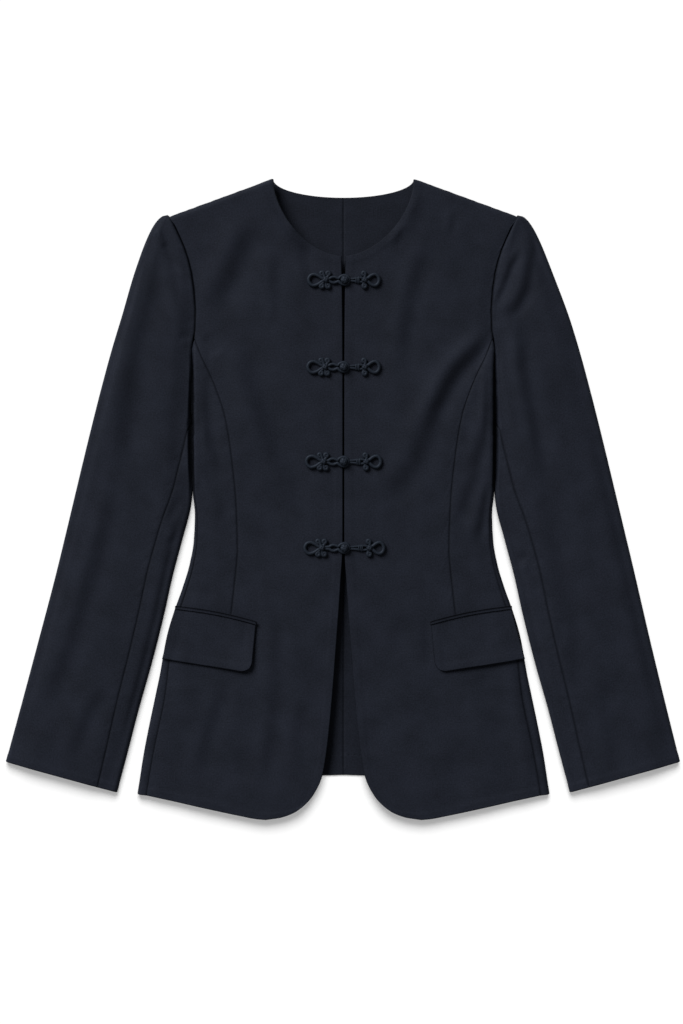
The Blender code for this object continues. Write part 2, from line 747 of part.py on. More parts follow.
def end_loop(name, tip, flower, y):
    """The corded loop at a frog's end, an egg whose narrow end is in the flower."""
    reach = abs(tip - flower)
    direction = 1 if tip > flower else -1
    half_length = (reach - CORD_RADIUS - LOOP_START) / 2
    centre = flower + direction * (LOOP_START + half_length)
    path = []
    radii = []
    for k in range(LOOP_STEPS):
        turn = 2 * math.pi * k / LOOP_STEPS
        x = centre + direction * half_length * math.cos(turn)
        width = (LOOP_HALF_WIDTH - CORD_RADIUS) * (1 + LOOP_EGG * (math.cos(turn) - 1))
        spot_y = y + width * math.sin(turn)
        radii.append(CORD_RADIUS * (1 + LOOP_TAPER * (math.cos(turn) - 1)))
        path.append((x, spot_y, cloth_under(x, spot_y) + CORD_RADIUS))
    return cord_ring(name, np.array(path), radii)


def flower(name, x, y, petals):
    """A ball and its petals, as a list of objects with the ball first."""
    level = cloth_under(x, y)
    made = [bead(name + "_middle", (x, y, level + FLOWER_HALF_HEIGHT), FLOWER_RADIUS,
                 FLOWER_HALF_HEIGHT)]
    for k, (petal_x, petal_y) in enumerate(petals):
        spot = (x + petal_x, y + petal_y, cloth_under(x + petal_x, y + petal_y) + PETAL_HALF_HEIGHT)
        made.append(bead(f"{name}_petal_{k}", spot, PETAL_RADIUS, PETAL_HALF_HEIGHT))
    return made


def button_loop(name, flower_x, knot_x, y):
    """The loop that leaves the flower, rises over the stem and holds the knot."""
    stretch = (flower_x + BUTTON_LOOP_OVERLAP - knot_x) / BUTTON_LOOP_REAR
    low = BUTTON_CORD_RADIUS
    high = 2 * STEM_CORD_RADIUS + SEAM_GAP + BUTTON_CORD_RADIUS
    upper = list(BUTTON_LOOP)
    outline = [(BUTTON_LOOP_REAR, 0.0)] + upper + [(BUTTON_LOOP_TIP, 0.0)]
    outline += [(x, -spot_y) for x, spot_y in reversed(upper)]
    control = []
    for x, spot_y in outline:
        x = x * stretch if x < BUTTON_LOOP_NECK else x
        share = min(max((x - BUTTON_RISE_START) / BUTTON_RISE_LENGTH, 0.0), 1.0)
        rise = low + (high - low) * share * share * (3 - 2 * share)
        control.append((knot_x + x, y + spot_y, cloth_under(knot_x + x, y + spot_y) + rise))
    return cord_ring(name, ring_path(control, BUTTON_LOOP_STEPS), BUTTON_CORD_RADIUS)


def stem(name, knot_x, flower_x, y):
    """The doubled cord between the knot and its flower, a long narrow ring."""
    path = []
    ends = ((knot_x + STEM_NEAR + STEM_START, STEM_NEAR, -1), (flower_x, STEM_FAR, 1))
    for centre, radius, direction in ends:
        for turn in np.linspace(-math.pi / 2, math.pi / 2, 5):
            x = centre + direction * radius * math.cos(turn)
            spot_y = y + direction * radius * math.sin(turn)
            path.append((x, spot_y, cloth_under(x, spot_y) + STEM_CORD_RADIUS))
    return cord_ring(name, np.array(path), STEM_CORD_RADIUS)


def build_frogs():
    for number, (y, left_tip, right_tip, knot_x) in enumerate(FROGS, start=1):
        name = f"frog_{number}"
        left_flower = left_tip + LOOP_FLOWER_REACH
        right_flower = right_tip - BUTTON_FLOWER_REACH
        loop_half = end_loop(name + "_loop", left_tip, left_flower, y)
        held = flower(name + "_left_flower", left_flower, y, LOOP_HALF_PETALS)
        held.append(button_loop(name + "_button_loop", left_flower, knot_x, y))
        fuse(loop_half, held)
        stem_half = end_loop(name + "_stem", right_tip, right_flower, y)
        held = flower(name + "_right_flower", right_flower, y, BUTTON_HALF_PETALS)
        held.append(stem(name + "_stem_cords", knot_x, right_flower, y))
        fuse(stem_half, held)
        knot_z = cloth_under(knot_x, y) + 2 * STEM_CORD_RADIUS + SEAM_GAP + KNOT_HALF_HEIGHT
        bead(name + "_knot", (knot_x, y, knot_z), KNOT_RADIUS, KNOT_HALF_HEIGHT, KNOT_STEPS)


def build_cloth():
    for side, hand in ((1, "left"), (-1, "right")):
        wall("front_" + hand, front_rows(), body_point, CLOTH, side)
        wall("side_front_" + hand, side_front_rows(), body_point, CLOTH, side)
        wall("back_" + hand, back_rows(), body_point, CLOTH, side)
        wall("upper_sleeve_" + hand, upper_sleeve_rows(), sleeve_point, CLOTH, side, -1)
        wall("under_sleeve_" + hand, under_sleeve_rows(), sleeve_point, CLOTH, side, -1)
        wall("pocket_flap_" + hand, FLAP_ROWS, flap_point, FLAP_CLOTH, side, -1)
        wall("pocket_welt_" + hand, WELT_ROWS, welt_point, WELT_CLOTH, side, -1)


for old in list(bpy.data.objects):
    bpy.data.objects.remove(old, do_unlink=True)
build_cloth()
build_frogs()
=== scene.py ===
# %% [markdown]
# # A frog closure blazer, laid flat on its back
# The real jacket is cut from a smooth dark navy worsted, sewn together, pressed and laid on a
# white surface. It has no lapels or buttonholes: four frogs, made of rolled bias cord, close it.
# Every piece of cloth below is a thin wall over the form of its CAD solid. The sizes are
# millimetres until a mesh is made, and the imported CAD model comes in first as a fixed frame.

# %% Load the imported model
import math

import bpy
import numpy as np
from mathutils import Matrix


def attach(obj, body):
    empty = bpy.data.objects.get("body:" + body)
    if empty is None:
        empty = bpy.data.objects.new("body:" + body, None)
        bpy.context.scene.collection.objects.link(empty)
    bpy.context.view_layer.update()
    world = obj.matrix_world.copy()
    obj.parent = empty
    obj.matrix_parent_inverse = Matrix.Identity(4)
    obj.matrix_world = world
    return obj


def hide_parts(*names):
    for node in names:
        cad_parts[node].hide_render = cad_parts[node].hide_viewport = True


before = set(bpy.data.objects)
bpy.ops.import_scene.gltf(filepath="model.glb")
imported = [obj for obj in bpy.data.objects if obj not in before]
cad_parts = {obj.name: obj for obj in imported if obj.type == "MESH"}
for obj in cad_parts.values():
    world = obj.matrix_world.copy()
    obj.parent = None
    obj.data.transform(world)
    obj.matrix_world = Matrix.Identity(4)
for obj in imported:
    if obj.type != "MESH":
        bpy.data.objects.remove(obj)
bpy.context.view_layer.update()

MM = 0.001

# %% [markdown]
# ## Camera
# The photograph looks straight down. A long lens from far above keeps the flat jacket in scale
# from edge to edge, so the picture's height covers a known length of the surface.

# %% Camera
FRAME_CENTRE = (-2.2, -14.3)
FRAME_HEIGHT = 1119.0
CAMERA_HEIGHT = 2600.0
CLOTH_TOP = 10.0
SENSOR = 36.0
camera_data = bpy.data.cameras.new("camera")
camera_data.sensor_width = SENSOR
camera_data.lens = SENSOR * (CAMERA_HEIGHT - CLOTH_TOP) / FRAME_HEIGHT
camera_data.clip_end = 20.0
camera = bpy.data.objects.new("camera", camera_data)
camera.location = (FRAME_CENTRE[0] * MM, FRAME_CENTRE[1] * MM, CAMERA_HEIGHT * MM)
bpy.context.scene.collection.objects.link(camera)
bpy.context.scene.camera = camera
print("lens mm:", round(camera_data.lens, 1))

# %% [markdown]
# ## Reading the pattern
# A pattern maker describes a jacket by a few widths at a few heights. A curve that never
# overshoots its rows joins them, so short tables give the whole outline. The tables are the CAD
# model's, with edges moved by up to 2.5 mm where the photograph shows them a little differently.
# Numpy reads them for thousands of points at once.


# %% Curves through short tables
def smooth(table, at, column=1):
    """Read a column of a table at many heights, without overshooting its rows."""
    rows = np.array(sorted(table), float)
    h = rows[:, 0]
    v = rows[:, column]
    at = np.clip(at, h[0], h[-1])
    slope = np.diff(v) / np.diff(h)
    tangent = np.zeros(len(h))
    tangent[0] = slope[0]
    tangent[-1] = slope[-1]
    product = slope[:-1] * slope[1:]
    total = np.where(product > 0, slope[:-1] + slope[1:], 1.0)
    tangent[1:-1] = np.where(product > 0, 2 * product / total, 0.0)
    k = np.clip(np.searchsorted(h, at, side="right") - 1, 0, len(h) - 2)
    step = h[k + 1] - h[k]
    s = (at - h[k]) / step
    blend = s * s * (3 - 2 * s)
    ease = s * (1 - s) ** 2 * tangent[k] + s * s * (s - 1) * tangent[k + 1]
    return v[k] + (v[k + 1] - v[k]) * blend + step * ease


def straight(table, at):
    """Read a table by straight lines between its rows."""
    rows = np.array(sorted(table), float)
    return np.interp(at, rows[:, 0], rows[:, 1])


def ease(share):
    """A soft step from 0 to 1."""
    share = np.clip(share, 0.0, 1.0)
    return share * share * (3 - 2 * share)


print("a soft step at a quarter of its way:", float(ease(0.25)))

# %% Body tables
CLOTH = 1.6
SEAM_PRESS = 0.06
FOLD_RADIUS = 4.5
LAY_GAP = 0.5
NECK_HALF = 77.0
NECK_HEIGHT = 350.6
FRONT_NECK_DROP = 84.8
FRONT_NECK_POWER = 1.77
BACK_NECK_DROP = 20.3
SHOULDER_HALF = 190.0
SHOULDER_HEIGHT = 309.4
UNDERARM_HEIGHT = 164.0
POCKET_HEIGHT = -125.4
SIDE_HEM_HEIGHT = -322.3
SEAM_HEM_HEIGHT = -324.4
FOLD_LENGTH = math.pi * FOLD_RADIUS
SIDE_FOLD = (
    (360.0, 270.0), (309.4, 206.0), (297.0, 196.0), (274.0, 183.0), (254.0, 176.0),
    (229.0, 171.5), (208.0, 169.5), (184.0, 168.0), (164.0, 166.0), (131.0, 165.0),
    (10.0, 165.0), (-17.6, 162.8), (-45.1, 163.9), (-71.5, 168.5), (-97.9, 176.5),
    (-124.3, 186.0), (-150.7, 193.6), (-190.3, 200.8), (-243.1, 211.8), (-282.7, 219.5),
    (-322.3, 225.5),
)
ARMHOLE = (
    (311.7, 191.2), (308.6, 189.6), (301.0, 185.4), (292.0, 181.0), (283.0, 176.9),
    (274.0, 173.2), (262.0, 169.2), (247.0, 165.6), (229.0, 163.1), (208.0, 161.6),
    (184.0, 162.3), (174.0, 163.2), (164.0, 168.6),
)
PRINCESS_TOP = 174.0
PRINCESS = (
    (174.0, 162.2), (164.0, 158.6), (125.0, 141.0), (90.0, 129.4), (46.0, 122.2),
    (-7.7, 117.0), (-56.0, 115.6), (-82.5, 117.8), (-125.4, 122.5), (-190.0, 129.0),
    (-322.3, 140.0),
)
SIDE_SEAM = (
    (164.0, 7.07), (60.0, 5.0), (-60.0, 0.5), (-177.0, -3.2), (-230.0, -6.5),
    (-274.0, -6.0), (-322.3, -5.4),
)
FRONT_EDGE = (
    (360.0, 2.1), (266.0, 2.1), (236.0, 1.5), (190.0, 1.0), (120.0, 0.7), (-40.0, 0.7),
    (-61.6, 1.2), (-88.0, 2.9), (-155.0, 7.5), (-265.0, 17.0),
    (-302.5, 23.2), (-324.5, 33.6), (-341.0, 50.6), (-348.0, 67.0), (-350.9, 85.0),
)
FRONT_HEM = (
    (-350.9, 85.0), (-350.0, 95.0), (-347.0, 111.0), (-338.3, 152.0), (-328.9, 194.0),
    (-322.3, 225.5),
)
BACK_HEM = (
    (-302.5, 0.2), (-304.5, 60.0), (-310.0, 140.0), (-318.0, 200.0), (-322.3, 218.0),
)
BODY_LOFT = 1.4
SIDE_RISE = 1.2
SIDE_RISE_WIDTH = 20.0
CHEST_LOFT = 1.8
CHEST_CENTRE = (88.0, 95.0)
CHEST_SPREAD = 85.0
FREE_EDGE = 17.0
SIDE_SWELL = 2.6
SIDE_SWELL_WIDTH = 16.0
SIDE_SWELL_TOP = 182.0
SIDE_SWELL_FOOT = 0.0
SIDE_SWELL_FADE = 34.0
print("half width at the waist:", float(smooth(SIDE_FOLD, -17.6)), "mm")

# %% [markdown]
# ## Creases
# The jacket has been worn and folded, so its cloth keeps long soft troughs and ridges, and folds
# with one steep side, which the slanting light turns dark or bright. Each row of a table is one
# of them: its half width, how far it rises along its line, how far the cloth drops outwards
# across the line, and the points that the line passes, from the top down. A simulation would put
# the creases where it liked, and these have to lie where the photograph has them.

# %% Creases: half width, rise, outward drop, then x and y of the line's points
CREASES_LEFT = (
    (9.0, 0.0, 5.8, 170.0, 184.0, 142.0, 162.0, 122.0, 140.0, 110.0, 120.0, 99.0, 96.0, 90.0, 70.0),
    (12.0, 0.0, 3.4, 106.0, 112.0, 92.0, 76.0, 74.0, 38.0, 52.0, 8.0, 38.0, -10.0),
    (15.0, 1.3, 0.0, 108.0, 168.0, 94.0, 120.0, 80.0, 78.0, 66.0, 52.0),
    (8.0, 1.1, 0.0, 158.0, 146.0, 151.0, 90.0, 140.0, 40.0),
    (8.0, 0.0, 2.6, 163.0, 112.0, 153.0, 64.0, 138.0, 22.0),
    (6.5, 0.0, 3.0, 161.0, 24.0, 153.0, -16.0, 142.0, -52.0),
    (7.0, 0.0, 1.9, 147.0, 38.0, 133.0, 2.0, 123.0, -28.0),
    (9.0, 0.0, 2.4, 95.0, 294.0, 86.0, 264.0, 74.0, 230.0, 66.0, 180.0, 62.0, 124.0),
    (4.0, 0.0, 1.1, 65.0, 298.0, 54.0, 274.0),
    (4.0, 0.0, 1.1, 119.0, 316.0, 117.0, 288.0),
    (9.0, -0.8, 0.0, 128.0, 330.0, 156.0, 312.0, 182.0, 300.0),
    (20.0, 0.8, 0.0, 58.0, 220.0, 48.0, 170.0),
    (8.0, 1.6, 0.0, 84.0, 342.0, 68.0, 300.0, 46.0, 276.0),
    (12.0, -0.7, 0.0, 32.0, -236.0, 30.0, -282.0),
    (12.0, -0.7, 0.0, 72.0, -124.0, 58.0, -176.0),
    (6.0, -0.9, 0.0, 90.0, -122.0, 94.0, -190.0),
    (11.0, -0.9, 0.0, 150.0, -188.0, 160.0, -230.0),
    (16.0, 0.0, 2.0, 150.0, -196.0, 160.0, -250.0, 176.0, -330.0),
    (11.0, 0.0, 3.0, 186.0, -150.0, 196.0, -200.0, 206.0, -256.0, 213.0, -322.0),
    (14.0, 0.0, 1.2, 112.0, -262.0, 126.0, -330.0),
)
CREASES_RIGHT = (
    (12.0, 0.0, -4.4, 100.0, 310.0, 111.0, 280.0, 124.0, 250.0, 137.0, 224.0, 148.0, 202.0),
    (10.0, 6.0, 0.0, 104.0, 384.0, 84.0, 350.0, 68.0, 318.0, 54.0, 288.0, 36.0, 266.0),
    (6.0, 0.0, -1.2, 75.0, 276.0, 77.0, 240.0, 75.0, 186.0),
    (6.0, 0.0, -1.2, 48.0, 286.0, 44.0, 256.0, 37.0, 220.0),
    (13.0, 0.0, -4.6, 118.0, 190.0, 106.0, 138.0, 94.0, 100.0, 82.0, 62.0, 58.0, 18.0, 34.0, -14.0),
    (10.0, -1.0, 0.0, 152.0, 180.0, 138.0, 156.0),
    (11.0, 1.0, 0.0, 124.0, 116.0, 113.0, 62.0, 104.0, 22.0),
    (6.5, 1.1, 0.0, 158.0, 88.0, 149.0, 54.0, 138.0, 28.0),
    (6.5, -1.1, 0.0, 152.0, 132.0, 143.0, 80.0, 138.0, 40.0, 128.0, 14.0),
    (5.5, 0.0, -1.2, 153.0, 30.0, 139.0, 2.0, 127.0, -24.0),
    (9.0, -0.7, 0.0, 151.0, -70.0, 146.0, -116.0),
    (11.0, -0.7, 0.0, 78.0, 24.0, 70.0, -28.0),
    (8.0, 0.0, -1.6, 86.0, -84.0, 75.0, -150.0, 76.0, -210.0, 82.0, -276.0, 94.0, -336.0),
    (8.0, 0.0, -1.7, 129.0, -186.0, 138.0, -225.0, 152.0, -265.0, 162.0, -316.0),
    (8.0, 0.0, -1.3, 42.0, -206.0, 51.0, -262.0, 47.0, -308.0),
    (15.0, -0.7, 0.0, 108.0, -268.0, 104.0, -312.0),
    (13.0, 0.7, 0.0, 172.0, -192.0, 164.0, -256.0),
    (11.0, 0.7, 0.0, 116.0, -194.0, 120.0, -262.0),
    (5.5, -0.6, 0.0, 205.0, -222.0, 213.0, -290.0),
)
CREASES_UNDER = (
    (14.0, 0.8, 0.0, 120.0, 230.0, 96.0, 150.0, 60.0, 60.0),
    (13.0, 0.7, 0.0, 60.0, 20.0, 66.0, -80.0, 50.0, -190.0),
    (11.0, 0.6, 0.0, 150.0, 60.0, 138.0, -30.0, 150.0, -120.0),
    (12.0, 0.8, 0.0, 110.0, -150.0, 118.0, -220.0, 112.0, -300.0),
)
PATH_STEPS = 14
FADE_SHARE = 0.3


def along(points, shares):
    """Points at shares of the length of a line."""
    points = np.array(points, float)
    run = np.concatenate([[0.0], np.cumsum(np.linalg.norm(np.diff(points, axis=0), axis=1))])
    at = np.asarray(shares) * run[-1]
    return np.stack([np.interp(at, run, points[:, k]) for k in range(points.shape[1])], axis=-1)


def creases(x, y, table):
    """Height that the creases of a table add at each point."""
    rise = np.zeros_like(x)
    for half, height, drop, *spots in table:
        path = along(np.array(spots).reshape(-1, 2), np.linspace(0.0, 1.0, PATH_STEPS + 1))
        nearest = np.full(x.shape, 1e9)
        travelled = np.zeros_like(x)
        outwards = np.zeros_like(x)
        for k in range(PATH_STEPS):
            step = path[k + 1] - path[k]
            from_start = (x - path[k, 0], y - path[k, 1])
            ahead = from_start[0] * step[0] + from_start[1] * step[1]
            s = np.clip(ahead / (step @ step), 0.0, 1.0)
            away = (from_start[0] - s * step[0]) ** 2 + (from_start[1] - s * step[1]) ** 2
            side = np.sign(step[0] * from_start[1] - step[1] * from_start[0])
            closer = away < nearest
            nearest = np.where(closer, away, nearest)
            travelled = np.where(closer, (k + s) / PATH_STEPS, travelled)
            outwards = np.where(closer, side, outwards)
        fade = ease(np.minimum(travelled, 1.0 - travelled) / FADE_SHARE)
        across = outwards * np.sqrt(nearest) / half
        steep = across * np.exp((1.0 - across ** 2) / 2)
        rise += fade * (height * np.exp(-across ** 2) - drop / 2 * steep)
    return rise


print("creases:", len(CREASES_LEFT), "left,", len(CREASES_RIGHT), "right")

# %% Unevenness: gentle bumps that no lying cloth is without
LATTICE = 64
LATTICE_START = (30.3, 30.7)
LIMP_BROAD = 0.5
LIMP_BROAD_SIZE = 40.0
LIMP_FINE = 0.17
LIMP_FINE_SIZE = 19.0
LIMP_STRETCH = 0.55


def uneven(x, y, size, seed):
    """Smooth random unevenness between -1 and 1, with bumps of a given size."""
    lattice = np.random.default_rng(seed).uniform(-1, 1, (LATTICE, LATTICE))
    gx = np.asarray(x) / size + LATTICE_START[0]
    gy = np.asarray(y) / size + LATTICE_START[1]
    ix = np.floor(gx).astype(int)
    iy = np.floor(gy).astype(int)
    fx = ease(gx - ix)
    fy = ease(gy - iy)
    low, high = (lattice[ix % LATTICE, row % LATTICE] * (1 - fx)
                 + lattice[(ix + 1) % LATTICE, row % LATTICE] * fx for row in (iy, iy + 1))
    return low * (1 - fy) + high * fy


def limp(x, y):
    """Unevenness drawn out along the cloth's length."""
    broad = uneven(x, LIMP_STRETCH * y, LIMP_BROAD_SIZE, 5)
    return LIMP_BROAD * broad + LIMP_FINE * uneven(x, LIMP_STRETCH * y, LIMP_FINE_SIZE, 8)


print("unevenness: up to", LIMP_BROAD + LIMP_FINE, "mm")

# %% [markdown]
# ## Placing the body's cloth
# A pattern point is a distance round the body's section and a height. The section runs over the
# top, round the side fold and back below, as cloth does when a jacket is laid on its back, and
# at the shoulder seam the two layers roll into each other.

# %% From pattern to place
shoulder_run = np.array([SHOULDER_HALF - NECK_HALF, SHOULDER_HEIGHT - NECK_HEIGHT])
SHOULDER_OUT = np.array([-shoulder_run[1], shoulder_run[0]]) / np.linalg.norm(shoulder_run)
FOLD_TAKE = (math.pi / 2 - 1) * FOLD_RADIUS


def body_half(y):
    return smooth(SIDE_FOLD, y)


def below(x, y):
    """Distance round the section of a point of the lower layer, and the other way round."""
    return 2 * (body_half(y) - FOLD_RADIUS) + FOLD_LENGTH - x


def shoulder_x(y, depth):
    """Half width at which a row is a given depth inside the shoulder line."""
    rest = FOLD_TAKE - depth - (y - NECK_HEIGHT) * SHOULDER_OUT[1]
    return NECK_HALF + rest / SHOULDER_OUT[0]


def side_swell(y):
    """How far the body's side stands higher where the sleeve lies against it."""
    from_foot = ease((y - SIDE_SWELL_FOOT) / SIDE_SWELL_FADE)
    return SIDE_SWELL * from_foot * ease((SIDE_SWELL_TOP - y) / SIDE_SWELL_FADE)


def top_height(x, y, table=()):
    """Height of the upper layer's face."""
    flat = body_half(y) - FOLD_RADIUS
    share = np.minimum(np.abs(x) / flat, 1.0)
    fade = np.cos(share * math.pi / 2) ** 2
    away = (x - CHEST_CENTRE[0]) ** 2 + (y - CHEST_CENTRE[1]) ** 2
    chest = CHEST_LOFT * np.exp(-away / CHEST_SPREAD ** 2)
    edge = ease((1.0 - share) * FREE_EDGE)
    lift = chest + limp(x, y) + creases(x, y, table)
    rise = SIDE_RISE * ease((flat - np.abs(x)) / SIDE_RISE_WIDTH)
    rise = rise + side_swell(y) * ease(1.0 - (flat - np.abs(x)) / SIDE_SWELL_WIDTH)
    return 2 * FOLD_RADIUS + BODY_LOFT * fade + rise + lift * edge


def under_height(x, y):
    """Height of the lower layer's outer face, which rests on the surface but for its creases."""
    share = np.clip(np.abs(x) / (body_half(y) - FOLD_RADIUS), 0.0, 1.0)
    return np.maximum(creases(x, y, CREASES_UNDER), 0.0) * ease((1.0 - share) * FREE_EDGE)


def body_place(table):
    """The function that places the body's cloth, with the creases of one side."""
    def place(around, y):
        flat = body_half(y) - FOLD_RADIUS
        turn = np.clip((around - flat) / FOLD_RADIUS, 0.0, math.pi)
        over = around < flat
        under = around > flat + FOLD_LENGTH
        x = flat + FOLD_RADIUS * np.sin(turn)
        x = np.where(over, around, np.where(under, below(around, y), x))
        z = (FOLD_RADIUS + side_swell(y) / 2) * (1 + np.cos(turn))
        z = np.where(over, top_height(x, y, table), np.where(under, under_height(x, y), z))
        depth = FOLD_TAKE - (x - NECK_HALF) * SHOULDER_OUT[0] - (y - NECK_HEIGHT) * SHOULDER_OUT[1]
        roll = np.clip(depth / FOLD_RADIUS, 0.0, math.pi / 2)
        rolled = depth - FOLD_TAKE - FOLD_RADIUS * (1 - np.cos(roll))
        shift = np.where(roll < math.pi / 2, rolled, 0.0)
        z = FOLD_RADIUS + (z - FOLD_RADIUS) * np.sin(roll)
        return np.stack([x + shift * SHOULDER_OUT[0], y + shift * SHOULDER_OUT[1], z], axis=-1)
    return place


def front_neck(share):
    """Point of the front neckline, from the centre front to the shoulder."""
    turn = share * math.pi / 2
    x = NECK_HALF * np.sin(turn) ** (2 / FRONT_NECK_POWER)
    y = NECK_HEIGHT - FRONT_NECK_DROP * np.cos(turn) ** (2 / FRONT_NECK_POWER)
    return np.stack([np.maximum(x, smooth(FRONT_EDGE, y)), y], axis=-1)


def back_neck(share):
    turn = share * math.pi / 2
    x = NECK_HALF * np.sin(turn)
    y = NECK_HEIGHT - BACK_NECK_DROP * np.cos(turn)
    return np.stack([np.maximum(x, -SEAM_PRESS / 2), y], axis=-1)


def side_seam(y):
    return body_half(y) - FOLD_RADIUS + smooth(SIDE_SEAM, y)


print("shoulder falls", round(-shoulder_run[1], 1), "mm over", shoulder_run[0], "mm")

# %% [markdown]
# ## Grids between four edges
# A cutter's piece has a few long edges. A Coons patch fills the space between four of them with
# a smooth grid whose outer lines are the edges, so hems, necklines and seams are exact.
# The steps are fine beside an edge, where the cloth rolls or dips, and wider in the middle.

# %% Grid helpers
PITCH = 2.8
SEAM_STEPS = (0.0, 0.4, 0.9, 1.6, 2.7, 4.6)
EDGE_STEPS = (0.0, 1.3, 2.4, 3.8, 5.6, 7.6, 9.2, 10.8)
NO_STEPS = (0.0,)


def steps_between(length, near, far, pitch=PITCH):
    """Shares of a length, fine at both ends and even between them."""
    start = np.array(near)
    end = length - np.array(far)[::-1]
    count = max(int(round((end[0] - start[-1]) / pitch)), 2)
    middle = np.linspace(start[-1], end[0], count + 1)
    return np.concatenate([start, middle[1:-1], end]) / length


def coons(top, bottom, left, right, across, down):
    """Fill four edges with a grid: rows go down, columns go across."""
    top = along(top, across)
    bottom = along(bottom, across)
    left = along(left, down)
    right = along(right, down)
    u = across[None, :, None]
    v = down[:, None, None]
    grid = (1 - v) * top[None] + v * bottom[None]
    grid += (1 - u) * left[:, None] + u * right[:, None]
    corners = (1 - u) * (1 - v) * top[0] + u * (1 - v) * top[-1]
    corners = corners + (1 - u) * v * bottom[0] + u * v * bottom[-1]
    return grid - corners


print("rows beside a seam, mm:", SEAM_STEPS)

# %% [markdown]
# ## Edges and seams
# At a folded edge the cloth turns round a facing, so it is a little thicker there and ends in
# a round rim. At a seam the two edges dive into it, and the thread draws the cloth in by small
# puckers. Both follow from the distance to the edge, so one function shapes every panel.

# %% Shape of seams and edges
SEAM_DEPTH = 0.6
ARMHOLE_DEPTH = 1.1
SEAM_WIDTH = 1.1
PUCKER = 0.13
PUCKER_WIDTH = 7.0
PUCKER_START = 2.0
EDGE_RAISE = 0.28
EDGE_BAND = 9.0
EDGE_STEP = 2.4
EDGE_WAVE = 0.06
EDGE_WAVE_LENGTH = 17.0
INSIDE_GROOVE = 1.3
OUTER_SHARE = 0.4
HEM_TURN_UP = 23.0
HEM_RAISE = 0.25
HEM_STEP = 1.6
RIM_TURNS = (0.25, 0.5, 0.75)
PUCKER_WAVES = ((9.7, 0.4), (14.3, 1.9), (22.9, 3.1))
# Painted shade: how far the colour darkens beside seams and the armhole, on folded rims and on the
# back's inner face.
SHADE_WIDTH = 1.3
SEAM_SHADE = {"seam": 0.6, "armhole": 1.0, "edge": 0.0, "none": 0.0}
RIM_SHADE = 0.65
INSIDE_SHADE = 0.2
# Painted shadow in the gap between the body's side and the sleeve; SIDE_GAP also sets the sleeve's
# valley.
SIDE_GAP = (
    (172.0, 0.0), (152.0, 0.9), (120.0, 2.1), (75.0, 3.3), (40.0, 2.8), (10.0, 1.3), (-8.0, 0.0),
)
GAP_FULL = 1.5
GAP_INNER = (2.4, 1.6)
GAP_OUTER = (0.8, 1.4)


def runs(points, axis):
    """Distance along a grid's lines from their start, and from their end."""
    step = np.linalg.norm(np.diff(points, axis=axis), axis=-1)
    start = np.zeros(points.shape[:2])
    total = np.cumsum(step, axis=axis)
    if axis == 1:
        start[:, 1:] = total
        return start, start[:, -1:] - start
    start[1:] = total
    return start, start[-1:] - start


def seam_shape(distance, travel, depth=SEAM_DEPTH):
    """How far the cloth sinks beside a seam."""
    puckers = sum(np.sin(2 * math.pi * travel / wave + phase) for wave, phase in PUCKER_WAVES)
    fade = np.exp(-(distance / PUCKER_WIDTH) ** 2) * (1 - np.exp(-(distance / PUCKER_START) ** 2))
    return -depth * np.exp(-(distance / SEAM_WIDTH) ** 2) + PUCKER * puckers * fade


def edge_shape(distance, travel):
    """How far the turned allowance lifts the cloth beside a folded edge."""
    band = ease((EDGE_BAND + EDGE_STEP / 2 - distance) / EDGE_STEP)
    return EDGE_RAISE * band + EDGE_WAVE * np.sin(travel / EDGE_WAVE_LENGTH) * band


def gap_shade(points):
    """Painted shadow in the deep gap between the body's side and the sleeve that lies against it.
    """
    x, y, z = points[..., 0], points[..., 1], points[..., 2]
    wide = smooth(SIDE_GAP, y)
    inner = smooth(SLEEVE_INNER, y)
    across = ease((inner + wide + GAP_OUTER[0] - x) / GAP_OUTER[1])
    across = across * ease((x - inner + GAP_INNER[0]) / GAP_INNER[1])
    return np.where(z < 2 * FOLD_RADIUS + SIDE_SWELL / 2, ease(wide / GAP_FULL) * across, 0.0)


class Patch:
    """A grid of pattern points whose edges are a seam, the armhole, a folded edge or none."""

    def __init__(self, grid, left, right, top, bottom, turn_up=0.0, flat=None):
        rows, columns = grid.shape[:2]
        self.grid = grid
        self.flat = grid if flat is None else flat
        self.turn_up = turn_up
        given = {"left": (left, rows), "right": (right, rows),
                 "top": (top, columns), "bottom": (bottom, columns)}
        self.kinds = {name: np.full(count, kind, object) if isinstance(kind, str) else kind
                      for name, (kind, count) in given.items()}

    def relief(self, points):
        """Each point's lift along its normal, round rim, turned-up hem and painted shade at seams
        and gap.
        """
        from_left, from_right = runs(points, 1)
        from_top, from_bottom = runs(points, 0)
        lift = np.zeros(points.shape[:2])
        round_rim = np.zeros(points.shape[:2])
        shade = np.zeros(points.shape[:2])
        sides = (
            ("left", from_left, from_top, (slice(None), 0)),
            ("right", from_right, from_top, (slice(None), -1)),
            ("top", from_top, from_left, (0, slice(None))),
            ("bottom", from_bottom, from_left, (-1, slice(None))),
        )
        for name, distance, travel, border in sides:
            kind = self.kinds[name]
            kind = kind[:, None] if name in ("left", "right") else kind[None, :]
            lift += np.where(kind == "seam", seam_shape(distance, travel), 0.0)
            lift += np.where(kind == "armhole", seam_shape(distance, travel, ARMHOLE_DEPTH), 0.0)
            lift += np.where(kind == "edge", edge_shape(distance, travel), 0.0)
            deep = np.vectorize(SEAM_SHADE.get)(kind)
            shade = np.maximum(shade, deep * np.exp(-(distance / SHADE_WIDTH) ** 2))
            round_rim[border] = np.where(self.kinds[name] == "edge", 1.0, round_rim[border])
        doubled = HEM_RAISE * ease((self.turn_up - from_bottom) / HEM_STEP)
        shade = np.maximum(shade, gap_shade(points))
        return np.stack([lift, round_rim, doubled, shade], axis=-1)


print("seam depth", SEAM_DEPTH, "mm, armhole depth", ARMHOLE_DEPTH, "mm")

